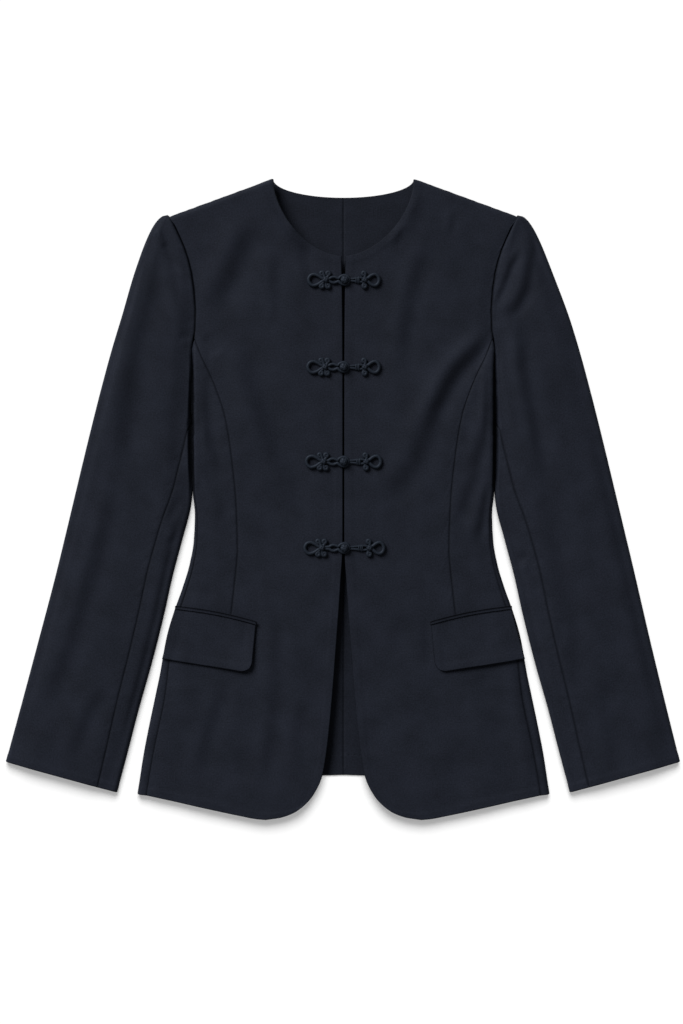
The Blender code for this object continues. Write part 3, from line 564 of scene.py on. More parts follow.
# %% [markdown]
# ## From a grid to cloth
# Solidify could thicken a sheet, but its rim would be square. Here the wall is made directly:
# an outer and an inner surface, and between them a rim that is half round at a folded edge.
# The UV map is the flat pattern in metres, so that the weave follows the grain of each piece.


# %% Mesh helpers
SHARP_ANGLE = math.radians(62)
KEYS_PER_MM = 2000


def face_normals(points, quads):
    """Normals of the points of a mesh of quads, pointing to where the quads turn left."""
    corners = points[quads]
    normals = np.cross(corners[:, 2] - corners[:, 0], corners[:, 3] - corners[:, 1])
    total = np.zeros_like(points)
    for k in range(4):
        np.add.at(total, quads[:, k], normals)
    length = np.linalg.norm(total, axis=1, keepdims=True)
    return total / np.maximum(length, 1e-12)


def enclosed(points, quads):
    """Signed volume inside a closed mesh of quads."""
    volume = 0.0
    for a, b, c in ((0, 1, 2), (0, 2, 3)):
        first, second, third = points[quads[:, a]], points[quads[:, b]], points[quads[:, c]]
        volume += np.einsum("ij,ij->i", first, np.cross(second, third)).sum() / 6
    return volume


def border_of(quads):
    """The edges of a grid that have one face, each as (start, end)."""
    edges = np.concatenate([quads[:, [k, (k + 1) % 4]] for k in range(4)])
    edges = edges[edges[:, 0] != edges[:, 1]]
    known = {(a, b) for a, b in edges.tolist()}
    return [(a, b) for a, b in known if (b, a) not in known]


def mesh_piece(name, points, quads, uv, shade, side, surface):
    """A mesh object from arrays in millimetres, mirrored for the right side."""
    points = points * np.array([side, 1.0, 1.0])
    if enclosed(points, quads) < 0:
        quads = quads[:, ::-1]
    mesh = bpy.data.meshes.new(name)
    mesh.from_pydata((points * MM).tolist(), [], quads.tolist())
    layer = mesh.uv_layers.new(name="pattern")
    order = np.empty(len(mesh.loops), dtype=np.int32)
    mesh.loops.foreach_get("vertex_index", order)
    layer.data.foreach_set("uv", (uv[order] * MM).astype(np.float32).ravel())
    # Painted shade: each point's darkening is stored for the suiting to read.
    darker = mesh.attributes.new("painted_shade", "FLOAT", "POINT")
    darker.data.foreach_set("value", shade.astype(np.float32))
    mesh.materials.append(surface)
    mesh.shade_smooth()
    mesh.set_sharp_from_angle(angle=SHARP_ANGLE)
    piece = bpy.data.objects.new(name, mesh)
    bpy.context.scene.collection.objects.link(piece)
    return piece


print("creases over", round(math.degrees(SHARP_ANGLE)), "degrees stay sharp")


# %% Cloth builder
def area_of(points, quads):
    corners = points[quads]
    crossed = np.cross(corners[:, 2] - corners[:, 0], corners[:, 3] - corners[:, 1])
    return np.linalg.norm(crossed, axis=1).sum() / 2


def merged(patches, place):
    """All patches as one mesh without doubled points: flat points, points, reliefs and quads."""
    flat_points, points, reliefs, quads = [], [], [], []
    count = 0
    for patch in patches:
        rows, columns = patch.grid.shape[:2]
        spots = place(patch.grid[..., 0], patch.grid[..., 1])
        index = np.arange(rows * columns).reshape(rows, columns) + count
        corners = [index[:-1, :-1], index[:-1, 1:], index[1:, 1:], index[1:, :-1]]
        quads.append(np.stack(corners, axis=-1).reshape(-1, 4))
        flat_points.append(patch.flat.reshape(-1, 2))
        points.append(spots.reshape(-1, 3))
        reliefs.append(patch.relief(spots).reshape(-1, 4))
        count += rows * columns
    points = np.concatenate(points)
    keys = np.round(points * KEYS_PER_MM).astype(np.int64)
    _, first, back = np.unique(keys, axis=0, return_index=True, return_inverse=True)
    quads = back.ravel()[np.concatenate(quads)]
    distinct = [len(set(quad)) == 4 for quad in quads.tolist()]
    reliefs = np.concatenate(reliefs)[first].T
    return np.concatenate(flat_points)[first], points[first], reliefs, quads[distinct]


def round_rims(outer, inner, points, normals, rims, border):
    """Draw both faces in at folded edges. Returns the rim's points and its rows between them."""
    ahead = {a: b for a, b in border}
    behind = {b: a for a, b in border}
    ring = sorted(ahead)
    tangent = np.array([points[ahead[k]] - points[behind[k]] for k in ring])
    out = np.cross(tangent, normals[ring])
    out /= np.maximum(np.linalg.norm(out, axis=1, keepdims=True), 1e-9)
    round_rim = rims[ring][:, None]
    half = (outer[ring] - inner[ring]) / 2
    reach = np.linalg.norm(half, axis=1, keepdims=True) * round_rim
    outer[ring] -= out * reach
    inner[ring] -= out * reach
    middle = (outer[ring] + inner[ring]) / 2
    rows = []
    for share in RIM_TURNS:
        turn = share * math.pi
        flat_way = half * (1 - 2 * share)
        round_way = half * math.cos(turn) + out * (math.sin(turn) * reach)
        rows.append(middle + flat_way * (1 - round_rim) + round_way * round_rim)
    return ring, rows


def cloth_piece(name, patches, place, side, facing, surface, thickness=CLOTH):
    """A closed wall of cloth over one or more patches. Returns it with its area in mm2."""
    inside_shows = any(patch.turn_up > 0.0 for patch in patches)
    flat_points, points, (lifts, rims, hems, shades), quads = merged(patches, place)
    normals = face_normals(points, quads) * facing
    if facing < 0:
        quads = quads[:, ::-1]
    sunk = np.minimum(lifts, 0.0)
    outer = points + normals * (lifts * (OUTER_SHARE if inside_shows else 1.0))[:, None]
    follow = -INSIDE_GROOVE if inside_shows else 1.0
    inner = points - normals * (thickness + hems - sunk * follow)[:, None]
    border = border_of(quads)
    ring, rim_rows = round_rims(outer, inner, points, normals, rims, border)
    every = np.concatenate([outer, inner] + rim_rows)
    every[:, 2] = np.maximum(every[:, 2], 0.0)
    uv = np.concatenate([flat_points, flat_points] + [flat_points[ring]] * len(RIM_TURNS))
    total = len(points)
    layers = [{k: k for k in ring}]
    for row in range(len(RIM_TURNS)):
        start = 2 * total + row * len(ring)
        layers.append({k: start + j for j, k in enumerate(ring)})
    layers.append({k: k + total for k in ring})
    rim_quads = [(upper[b], upper[a], lower[a], lower[b])
                 for a, b in border for upper, lower in zip(layers, layers[1:])]
    all_quads = np.concatenate([quads, quads[:, ::-1] + total, np.array(rim_quads)])
    # Painted shade: the back's inner face is darkened in colour.
    inside = np.maximum(shades, INSIDE_SHADE) if inside_shows else shades
    # Painted shade: folded rims are darkened in colour.
    rim_shade = np.maximum(shades[ring], RIM_SHADE * rims[ring])
    shade = np.concatenate([shades, inside] + [rim_shade] * len(RIM_TURNS))
    piece = mesh_piece(name, every, all_quads, uv, shade, side, surface)
    return piece, area_of(points, quads)


print("rows of points on a rim:", len(RIM_TURNS))

# %% [markdown]
# ## Materials
# Both cloths are shaders, and not pictures, so they hold at any distance. Their patterns read
# the UV map of each piece, which is its flat cut in metres: object coordinates would run the
# weave straight through the folds, as if the jacket were carved from a block of cloth.

# %% Material helpers
def linear(hex_colour):
    """An sRGB hex colour as linear light, which is what shaders use."""
    values = [int(hex_colour[k:k + 2], 16) / 255 for k in (0, 2, 4)]
    return [v / 12.92 if v <= 0.04045 else ((v + 0.055) / 1.055) ** 2.4 for v in values] + [1.0]


def add(tree, kind, settings=(), **inputs):
    """Add a node, set its settings, and fill or link its inputs by name."""
    node = tree.nodes.new(kind)
    for setting, value in dict(settings).items():
        setattr(node, setting, value)
    for name, value in inputs.items():
        key = int(name[1:]) if name[1:].isdigit() else name.replace("_", " ")
        socket = node.inputs[key]
        if isinstance(value, bpy.types.NodeSocket):
            tree.links.new(value, socket)
        else:
            socket.default_value = value
    return node


def new_material(name, **sockets):
    """A material with constants set on its Principled shader."""
    made = bpy.data.materials.new(name)
    made.use_nodes = True
    shader = made.node_tree.nodes["Principled BSDF"]
    for socket, value in sockets.items():
        shader.inputs[socket.replace("_", " ")].default_value = value
    return made, made.node_tree, shader


def weave(tree, thread):
    """Height of a plain weave, 0 to 1, with its threads a given number of metres apart."""
    uv = add(tree, "ShaderNodeUVMap", {"uv_map": "pattern"}).outputs["UV"]
    axes = add(tree, "ShaderNodeSeparateXYZ", Vector=uv)
    lines = []
    for axis in ("X", "Y"):
        turn = add(tree, "ShaderNodeMath", {"operation": "MULTIPLY"}, _0=axes.outputs[axis],
                   _1=math.pi / thread)
        lines.append(add(tree, "ShaderNodeMath", {"operation": "SINE"}, _0=turn.outputs[0]))
    product = add(tree, "ShaderNodeMath", {"operation": "MULTIPLY"}, _0=lines[0].outputs[0],
                  _1=lines[1].outputs[0])
    height = add(tree, "ShaderNodeMath", {"operation": "MULTIPLY_ADD"}, _0=product.outputs[0],
                 _1=0.5, _2=0.5)
    return uv, height.outputs[0]


print("navy in linear light:", [round(v, 4) for v in linear("1F222B")])

# %% [markdown]
# ### Worsted suiting
# A worsted is woven from fine combed yarn, about half a millimetre apart, and pressed. It drinks
# light: its colour is a near-black navy, its gloss is low, and it shows a faint mottle where
# yarns differ. Noise makes the mottle, and two crossed sines the threads. The base colour also
# carries painted shade: it is darkened in seams and on folded rims, thin lines that a soft lamp
# would fill with light, in the gap beside the sleeve, and on the back's inner face.

# %% Worsted suiting: combed yarn, plain weave, pressed; dark, soft, hardly glossy
# The real threads are 0.45 mm apart. The render shows 1.1 mm a pixel, so the threads are drawn
# at their size for near views, and a mottle with a grain of 1.6 mm stands for them from afar.
# The cloud, 29 mm wide, is the yarn's uneven dye. Scales are grains in a metre.
THREAD = 0.00045
MOTTLE_SCALE = 620.0
CLOUD_SCALE = 34.0
MOTTLE_PART, MOTTLE_BASE = 1.15, -0.45
CLOUD_PART = 0.62
THREAD_PART = 0.12
SEAM_DARKENS = -0.75
MOTTLE_RELIEF = 0.00035
THREAD_RELIEF = 0.00005
suiting, tree, shader = new_material("worsted_suiting", Roughness=0.66, IOR=1.45,
                                     Specular_IOR_Level=0.06)
shader.inputs["Specular Tint"].default_value = linear("DDE2EC")
uv, threads = weave(tree, THREAD)
mottle = add(tree, "ShaderNodeTexNoise", Vector=uv, Scale=MOTTLE_SCALE, Detail=3.0, Roughness=0.6)
cloud = add(tree, "ShaderNodeTexNoise", Vector=uv, Scale=CLOUD_SCALE, Detail=4.0, Roughness=0.55)
mixed = MOTTLE_BASE
for pattern, part in ((mottle.outputs[0], MOTTLE_PART), (cloud.outputs[0], CLOUD_PART),
                      (threads, THREAD_PART)):
    mixed = add(tree, "ShaderNodeMath", {"operation": "MULTIPLY_ADD"}, _0=pattern, _1=part,
                _2=mixed).outputs[0]
tone = add(tree, "ShaderNodeValToRGB", _0=mixed)
tone.color_ramp.elements[0].position = 0.1
tone.color_ramp.elements[0].color = linear("0F1116")
tone.color_ramp.elements[1].position = 0.9
tone.color_ramp.elements[1].color = linear("1F222B")
# Painted shade: the base colour is scaled down by the shade attribute.
seam = add(tree, "ShaderNodeAttribute", {"attribute_name": "painted_shade"})
dim = add(tree, "ShaderNodeMath", {"operation": "MULTIPLY_ADD"}, _0=seam.outputs["Fac"],
          _1=SEAM_DARKENS, _2=1.0)
coloured = add(tree, "ShaderNodeVectorMath", {"operation": "SCALE"}, _0=tone.outputs[0],
           Scale=dim.outputs[0])
tree.links.new(coloured.outputs[0], shader.inputs["Base Color"])
grain = add(tree, "ShaderNodeBump", Height=mottle.outputs[0], Distance=MOTTLE_RELIEF,
            Strength=0.5)
fine = add(tree, "ShaderNodeBump", Height=threads, Distance=THREAD_RELIEF, Strength=0.3,
           Normal=grain.outputs[0])
tree.links.new(fine.outputs[0], shader.inputs["Normal"])
print("suiting made")

# %% [markdown]
# ### Satin rouleau
# The frogs are rouleau, a bias tube of satin turned over a cord. It is darker than the suiting,
# and smoother, so it has a soft shine on top. Slanting ribs show that the tube is cut on the
# bias. They are bump alone, because a thread of satin stands up far less than a pixel.

# %% Satin rouleau: a bias tube over a cord; darker, smoother, with a soft shine
# The ribs are 0.7 mm apart and run slantwise round the cord. The flecks are 1.1 mm, a pixel.
RIB = 0.0007
RIB_RELIEF = 0.00006
FLECK_SCALE = 900.0
rouleau, tree, shader = new_material("satin_rouleau", Roughness=0.5, IOR=1.45,
                                     Specular_IOR_Level=0.15)
shader.inputs["Specular Tint"].default_value = linear("C6D2E8")
uv = add(tree, "ShaderNodeUVMap", {"uv_map": "cord_uv"}).outputs["UV"]
axes = add(tree, "ShaderNodeSeparateXYZ", Vector=uv)
slant = add(tree, "ShaderNodeMath", {"operation": "ADD"}, _0=axes.outputs["X"],
            _1=axes.outputs["Y"])
turn = add(tree, "ShaderNodeMath", {"operation": "MULTIPLY"}, _0=slant.outputs[0],
           _1=2 * math.pi / RIB)
ribs = add(tree, "ShaderNodeMath", {"operation": "SINE"}, _0=turn.outputs[0])
flecks = add(tree, "ShaderNodeTexNoise", Vector=uv, Scale=FLECK_SCALE, Detail=2.0)
tone = add(tree, "ShaderNodeValToRGB", _0=flecks.outputs[0])
tone.color_ramp.elements[0].position = 0.3
tone.color_ramp.elements[0].color = linear("12161C")
tone.color_ramp.elements[1].position = 0.75
tone.color_ramp.elements[1].color = linear("1C2129")
tree.links.new(tone.outputs[0], shader.inputs["Base Color"])
bump = add(tree, "ShaderNodeBump", Height=ribs.outputs[0], Distance=RIB_RELIEF, Strength=0.2)
tree.links.new(bump.outputs[0], shader.inputs["Normal"])
print("rouleau made")

# %% [markdown]
# ## The body's panels
# Two fronts, two side fronts and two backs. Each is cut as one piece, so each is one mesh. The
# front is two grids that share the row at the pocket, because it reaches the side seam only
# below the pocket. Its rounded corner takes the corner of the lower grid.

# %% Lines of the pattern
half_gap = -SEAM_PRESS / 2
TIP_LAP = 1.4
TIP_LAP_FROM = 299.0
TIP_LAP_FADE = 8.0
SHOULDER_TIP = ARMHOLE[0][0]
SHOULDER_LINE_TOP = 352.3
CLEAR_OF_NECK = 0.3


def line(x, y):
    return np.stack(np.broadcast_arrays(np.asarray(x, float), np.asarray(y, float)), axis=-1)


def join(*lines):
    """One line from several, without its doubled corners."""
    parts = [lines[0]] + [part[1:] for part in lines[1:]]
    return np.concatenate(parts)


def down(start, end, pitch=1.5):
    return np.linspace(start, end, max(int(abs(start - end) / pitch), 2) + 1)


def armhole_x(y):
    return straight(ARMHOLE, y)


def tip_lap(y):
    """How far the body reaches under the sleeve's head at the shoulder's tip."""
    return TIP_LAP * ease((y - TIP_LAP_FROM) / TIP_LAP_FADE)


upper_y = down(SHOULDER_TIP, PRINCESS_TOP)
whole_y = down(SHOULDER_TIP, UNDERARM_HEIGHT)
princess_y = down(PRINCESS_TOP, POCKET_HEIGHT)
hem_y = down(POCKET_HEIGHT, SEAM_HEM_HEIGHT)
neck_top = front_neck(np.array([1.0]))[0]
shoulder_y = np.linspace(SHOULDER_LINE_TOP, SHOULDER_TIP, 40)
shoulder_line = line(shoulder_x(shoulder_y, half_gap), shoulder_y)
shoulder_line = shoulder_line[shoulder_line[:, 1] < neck_top[1] - CLEAR_OF_NECK]
print("armhole rows", len(upper_y), "hem rows", len(hem_y))


# %% The fronts
FRONT_PITCH = (2.4, 2.2)
FRONT_REACH = 40.0
CORNER_START = -320.0
CORNER_TURN = -337.0
HEM_LOW = FRONT_HEM[0][0]


def kinds(shares, *stops):
    """The kind of each step of an edge: (up to this share, kind), ..."""
    made = np.full(len(shares), stops[-1][1], object)
    for limit, kind in reversed(stops[:-1]):
        made[shares <= limit] = kind
    return made


def length_of(points):
    return float(np.linalg.norm(np.diff(points, axis=0), axis=1).sum())


def front_patches():
    neckline = front_neck(np.linspace(0.0, 1.0, 60))
    edge_y = down(neckline[0, 1], POCKET_HEIGHT)
    left = line(smooth(FRONT_EDGE, edge_y), edge_y)
    armhole = line(armhole_x(upper_y) - half_gap + tip_lap(upper_y), upper_y)
    princess = line(smooth(PRINCESS, princess_y) - half_gap, princess_y)
    right = join(np.concatenate([neckline[-1:], shoulder_line]), armhole, princess)
    wide = smooth(PRINCESS, POCKET_HEIGHT) + FRONT_REACH
    across = steps_between(wide, EDGE_STEPS, SEAM_STEPS, FRONT_PITCH[0])
    lengthwise = steps_between(length_of(left), EDGE_STEPS, NO_STEPS, FRONT_PITCH[1])
    bottom = line(np.linspace(left[-1, 0], right[-1, 0], 30), np.full(30, POCKET_HEIGHT))
    upper = coons(neckline, bottom, left, right, across, lengthwise)
    whole = length_of(right)
    tip = length_of(shoulder_line) / whole
    right_kinds = kinds(lengthwise, (tip, "seam"), (tip + length_of(armhole) / whole, "armhole"),
                        (1.0, "seam"))
    patch = Patch(upper, "edge", right_kinds, "edge", "none")
    corner_y = join(down(POCKET_HEIGHT, CORNER_START), down(CORNER_START, CORNER_TURN, 0.5))
    left = line(smooth(FRONT_EDGE, corner_y), corner_y)
    turn_y = join(down(CORNER_TURN, HEM_LOW, 0.1), down(HEM_LOW, SIDE_HEM_HEIGHT, 0.3))
    before = np.arange(len(turn_y)) <= int(np.argmin(turn_y))
    hem_x = np.where(before, smooth(FRONT_EDGE, turn_y), smooth(FRONT_HEM, turn_y))
    stop = side_seam(SEAM_HEM_HEIGHT) - half_gap
    keep = hem_x < stop
    foot = np.concatenate([line(hem_x, turn_y)[keep], [[stop, SEAM_HEM_HEIGHT]]])
    right = line(side_seam(hem_y) - half_gap, hem_y)
    extra = steps_between(right[0, 0] - bottom[-1, 0], NO_STEPS, SEAM_STEPS)
    split = bottom[-1, 0]
    share = (split - bottom[0, 0]) / (right[0, 0] - bottom[0, 0])
    across = np.concatenate([across * share, share + extra[1:] * (1 - share)])
    top = line([bottom[0, 0], split, right[0, 0]], [POCKET_HEIGHT] * 3)
    lengthwise = steps_between(length_of(left), NO_STEPS, EDGE_STEPS)
    lower = coons(top, foot, left, right, across, lengthwise)
    return [patch, Patch(lower, "edge", "seam", "none", "edge")]


SIDE_FRONT_WIDTH = 50.0


def side_front_patches():
    top_x = smooth(PRINCESS, PRINCESS_TOP)
    left = line(smooth(PRINCESS, princess_y) + half_gap, princess_y)
    armhole_y = down(PRINCESS_TOP, UNDERARM_HEIGHT, 0.5)
    side_y = down(UNDERARM_HEIGHT, POCKET_HEIGHT)
    armhole = line(armhole_x(armhole_y) - half_gap, armhole_y)
    right = join(armhole, line(side_seam(side_y) - half_gap, side_y))
    top = line([top_x + half_gap, armhole[0, 0]], [PRINCESS_TOP] * 2)
    bottom = line([left[-1, 0], right[-1, 0]], [POCKET_HEIGHT - SEAM_PRESS] * 2)
    across = steps_between(SIDE_FRONT_WIDTH, SEAM_STEPS, SEAM_STEPS)
    lengthwise = steps_between(length_of(left), NO_STEPS, NO_STEPS)
    grid = coons(top, bottom, left, right, across, lengthwise)
    return [Patch(grid, "seam", "seam", "none", "none")]


print("grids of a front:", len(front_patches()), "of a side front:", len(side_front_patches()))

# %% The backs
ARMHOLE_TURN = 184.0
BACK_WIDTH = 200.0
BACK_CENTRE_FOOT = -302.6
BACK_HEM_END = BACK_HEM[-1][1]
BACK_SIDE_STEPS = SEAM_STEPS + (7.6, 9.6, 11.6, 13.6, 15.6, 17.6, 19.6, 21.6)
BACK_HEM_STEPS = EDGE_STEPS + (14.0, 18.0, 21.0, 21.8, 22.6, 23.4, 25.0)


def armhole_below(y):
    """The armhole on the lower layer, which meets the upper one at the side fold."""
    fold_middle = body_half(UNDERARM_HEIGHT) - FOLD_RADIUS + math.pi / 2 * FOLD_RADIUS
    flat_start = below(armhole_x(ARMHOLE_TURN), ARMHOLE_TURN)
    share = (y - UNDERARM_HEIGHT) / (ARMHOLE_TURN - UNDERARM_HEIGHT)
    turning = fold_middle + (flat_start - fold_middle) * share
    return np.where(y >= ARMHOLE_TURN, below(armhole_x(y), y), turning)


def back_place(table):
    """Place a point of the back from its distance to the centre back on the lower layer."""
    place = body_place(table)
    return lambda across, y: place(below(across, y), y)


def back_hem(x):
    """Height of the back's hem."""
    return np.interp(x, [row[1] for row in BACK_HEM], [row[0] for row in BACK_HEM])


def back_patches():
    neckline = back_neck(np.linspace(0.0, 1.0, 40))
    low_y = down(UNDERARM_HEIGHT, SEAM_HEM_HEIGHT)
    armhole_round = below(armhole_below(whole_y), whole_y) - half_gap
    armhole = line(armhole_round + tip_lap(whole_y), whole_y)
    seam = line(below(side_seam(low_y), low_y) - half_gap, low_y)
    right = join(np.concatenate([neckline[-1:], shoulder_line]), armhole, seam)
    centre_y = down(neckline[0, 1], BACK_CENTRE_FOOT)
    left = line(np.full(len(centre_y), half_gap), centre_y)
    foot_x = np.linspace(half_gap, BACK_HEM_END, 80)
    bottom = np.concatenate([line(foot_x, back_hem(foot_x)), right[-1:]])
    bottom[0, 1] = centre_y[-1]
    across = steps_between(BACK_WIDTH, SEAM_STEPS, BACK_SIDE_STEPS)
    lengthwise = steps_between(length_of(left), EDGE_STEPS, BACK_HEM_STEPS)
    grid = coons(neckline, bottom, left, right, across, lengthwise)
    return [Patch(grid, "seam", "seam", "edge", "edge", HEM_TURN_UP)]


print("back: rows at the hem", len(BACK_HEM_STEPS), "hem depth", HEM_TURN_UP, "mm")

# %% [markdown]
# ## Sleeves
# A two-piece sleeve lies folded in half beside the body. Each section across it is a flattened
# tube. At the head the tube opens, because there it is sewn to the armhole.

# %% Sleeve tables
SLEEVE_OUTER = (
    (311.4, 191.6), (311.0, 192.5), (309.8, 196.6), (306.9, 200.8), (300.3, 206.3), (284.9, 214.5),
    (258.5, 225.0), (218.9, 238.7), (166.1, 255.2), (113.3, 269.5), (60.5, 282.7),
    (7.7, 295.4), (-45.1, 308.0), (-111.1, 324.0), (-177.1, 340.5), (-229.9, 354.0),
    (-287.6, 369.0),
)
SLEEVE_INNER = (
    (164.0, 165.2), (131.0, 164.6), (95.0, 164.6), (60.0, 164.6), (18.0, 164.6),
    (-5.5, 166.6), (-45.0, 176.5), (-84.7, 187.0), (-124.3, 195.8), (-177.1, 209.0),
    (-229.9, 223.9), (-282.7, 237.6), (-321.2, 248.0),
)
SLEEVE_SECTIONS = (
    (311.0, 311.2), (309.8, 308.6), (305.0, 301.0), (296.5, 292.0), (290.0, 283.0), (282.5, 274.0),
    (274.0, 262.0), (261.0, 247.0), (246.0, 229.0), (228.0, 208.0), (207.5, 184.0),
    (198.0, 174.0), (188.5, 164.0), (157.0, 131.0), (122.0, 95.0), (88.5, 60.0),
    (55.0, 25.0), (27.0, -5.5), (-11.5, -45.0), (-50.5, -84.7), (-90.0, -124.3),
    (-142.8, -177.1), (-195.5, -229.9), (-248.5, -282.7), (-287.6, -321.2),
)
SLEEVE_SEAM = (
    (320.0, 0.0), (92.0, 0.0), (74.0, 8.4), (48.0, 14.6), (10.0, 23.4), (-30.0, 29.6),
    (-84.7, 30.5), (-156.0, 29.5), (-237.0, 27.0), (-321.2, 24.0),
)
SLEEVE_LEAN = (
    (311.0, -1.2), (250.0, 0.0), (190.0, 2.2), (-60.0, 2.2), (-166.0, 0.8), (-290.0, -0.7),
)
SLEEVE_WRAP = 12.0
SLEEVE_LOFT = 2.6
SLEEVE_LOFT_WIDTH = 80.0
SLEEVE_FREE_EDGE = 14.0
SLEEVE_LOFT_EDGE = 4.0
SLEEVE_OPENS = 20.0
RADIUS_SHARE = 0.4
WRAP_SHARE = 0.45
SECTION_COUNT = len(SLEEVE_SECTIONS)
CREASES_SLEEVE_LEFT = (
    (3.8, 0.0, 1.9, 195.0, 278.0, 182.0, 254.0, 172.0, 228.0, 162.0, 208.0),
    (6.5, 0.0, 4.0, 204.0, 294.0, 204.0, 262.0, 199.0, 232.0, 189.0, 211.0, 168.0, 196.0),
    (5.0, 0.9, 0.0, 179.0, 276.0, 167.0, 232.0),
    (7.5, 0.0, 3.4, 188.0, 212.0, 194.0, 170.0, 195.0, 140.0, 203.0, 100.0, 212.0, 50.0,
     217.0, 14.0),
    (11.0, 0.0, 2.0, 208.0, 40.0, 226.0, -45.0, 240.0, -110.0, 247.0, -160.0, 253.0, -220.0),
    (9.0, 0.0, 1.6, 277.0, -194.0, 288.0, -250.0, 297.0, -306.0),
    (9.0, 0.0, 3.4, 262.0, 116.0, 288.0, 10.0, 306.0, -70.0, 330.0, -170.0, 352.0, -262.0,
     362.0, -300.0),
    (6.0, -0.9, 0.0, 235.0, -128.0, 239.0, -162.0),
    (4.0, -1.1, 0.0, 180.0, -63.0, 190.0, -66.0, 203.0, -62.0),
    (4.0, 0.8, 0.0, 182.0, -75.0, 192.0, -77.0, 204.0, -74.0),
    (5.0, 0.9, 0.0, 164.0, 196.0, 169.0, 158.0, 178.0, 116.0, 189.0, 56.0),
    (6.0, 0.0, 1.1, 215.0, 268.0, 214.0, 224.0),
    (6.0, 0.0, -1.6, 176.0, -10.0, 205.0, -128.0, 244.0, -284.0),
)
CREASES_SLEEVE_RIGHT = (
    (4.0, 1.8, 0.0, 207.0, 298.0, 194.0, 274.0),
    (13.0, 0.0, -4.2, 212.0, 292.0, 215.0, 230.0, 230.0, 175.0, 238.0, 118.0, 242.0, 70.0,
     252.0, 10.0),
    (10.0, 0.0, -2.6, 248.0, 40.0, 262.0, -30.0, 282.0, -100.0, 302.0, -165.0, 322.0, -208.0,
     344.0, -264.0),
    (8.0, 0.0, -1.7, 260.0, -198.0, 280.0, -235.0, 301.0, -288.0),
    (8.0, 0.0, 2.0, 224.0, 240.0, 262.0, 112.0, 289.0, 8.0, 318.0, -111.0, 350.0, -250.0),
    (7.0, 1.3, 0.0, 200.0, 262.0, 189.0, 226.0, 177.0, 180.0),
    (4.0, -1.1, 0.0, 201.0, 292.0, 188.0, 262.0, 179.0, 244.0),
    (3.0, -0.8, 0.0, 162.0, 175.0, 172.0, 176.0, 180.0, 180.0),
    (3.0, 0.7, 0.0, 162.0, 168.0, 172.0, 169.0, 180.0, 173.0),
    (9.0, -1.1, 0.0, 192.0, 112.0, 181.0, 62.0, 178.0, 20.0),
    (7.0, 0.0, -2.6, 175.0, 8.0, 203.0, -122.0, 217.0, -177.0, 247.0, -296.0),
    (6.0, -1.1, 0.0, 178.0, 2.0, 192.0, -26.0),
    (5.0, 0.8, 0.0, 184.0, -34.0, 196.0, -44.0),
    (5.0, -0.6, 0.0, 181.0, -46.0, 194.0, -52.0),
)
print("sleeve sections:", SECTION_COUNT)


# %% Placing the sleeve's cloth
def sleeve_section(position):
    """Everything about the sections at these positions, which count the rows of the table."""
    order = list(range(SECTION_COUNT))
    outer_y = smooth([(k, SLEEVE_SECTIONS[k][0]) for k in order], position)
    inner_y = smooth([(k, SLEEVE_SECTIONS[k][1]) for k in order], position)
    opened = UNDERARM_HEIGHT + SLEEVE_OPENS
    share = np.clip((inner_y - UNDERARM_HEIGHT) / SLEEVE_OPENS, 0.0, 1.0)
    closed_x = SLEEVE_INNER[0][1]
    partly = closed_x + (armhole_x(opened) + half_gap - closed_x) * share
    inner_x = np.where(inner_y >= opened, armhole_x(inner_y) + half_gap,
                       np.where(inner_y > UNDERARM_HEIGHT, partly, smooth(SLEEVE_INNER, inner_y)))
    inner = line(inner_x, inner_y)
    outer = line(smooth(SLEEVE_OUTER, outer_y), outer_y)
    length = np.linalg.norm(outer - inner, axis=-1)
    section = {"height": inner_y, "inner": inner, "length": length,
               "across": (outer - inner) / length[..., None], "opening": math.pi / 2 * share}
    radius = np.minimum(FOLD_RADIUS, RADIUS_SHARE * length)
    section["radius"] = radius
    section["bend"] = radius * (math.pi / 2 - section["opening"])
    section["inset"] = radius * np.cos(section["opening"])
    section["flat"] = length - section["inset"] - radius
    section["top_end"] = section["bend"] + section["flat"]
    section["fold_end"] = section["top_end"] + math.pi * radius
    section["bottom_end"] = section["fold_end"] + section["flat"]
    section["total"] = section["bottom_end"] + section["bend"]
    section["front_seam"] = smooth(SLEEVE_SEAM, inner_y)
    wrap = np.minimum(SLEEVE_WRAP, WRAP_SHARE * section["flat"])
    section["back_seam"] = section["fold_end"] + wrap
    return section


HEAD_ROLL = 1.3
HEAD_ROLL_WIDTH = 9.0
HEAD_FOOT = 196.0
HEAD_FADE = 40.0
HEAD_START = 3.0
BENEATH_RISE = 0.5
BENEATH_SIZE = 40.0
VALLEY_DEPTH = 5.6
VALLEY_SLOPE = 3.2
VALLEY_FULL = 2.5


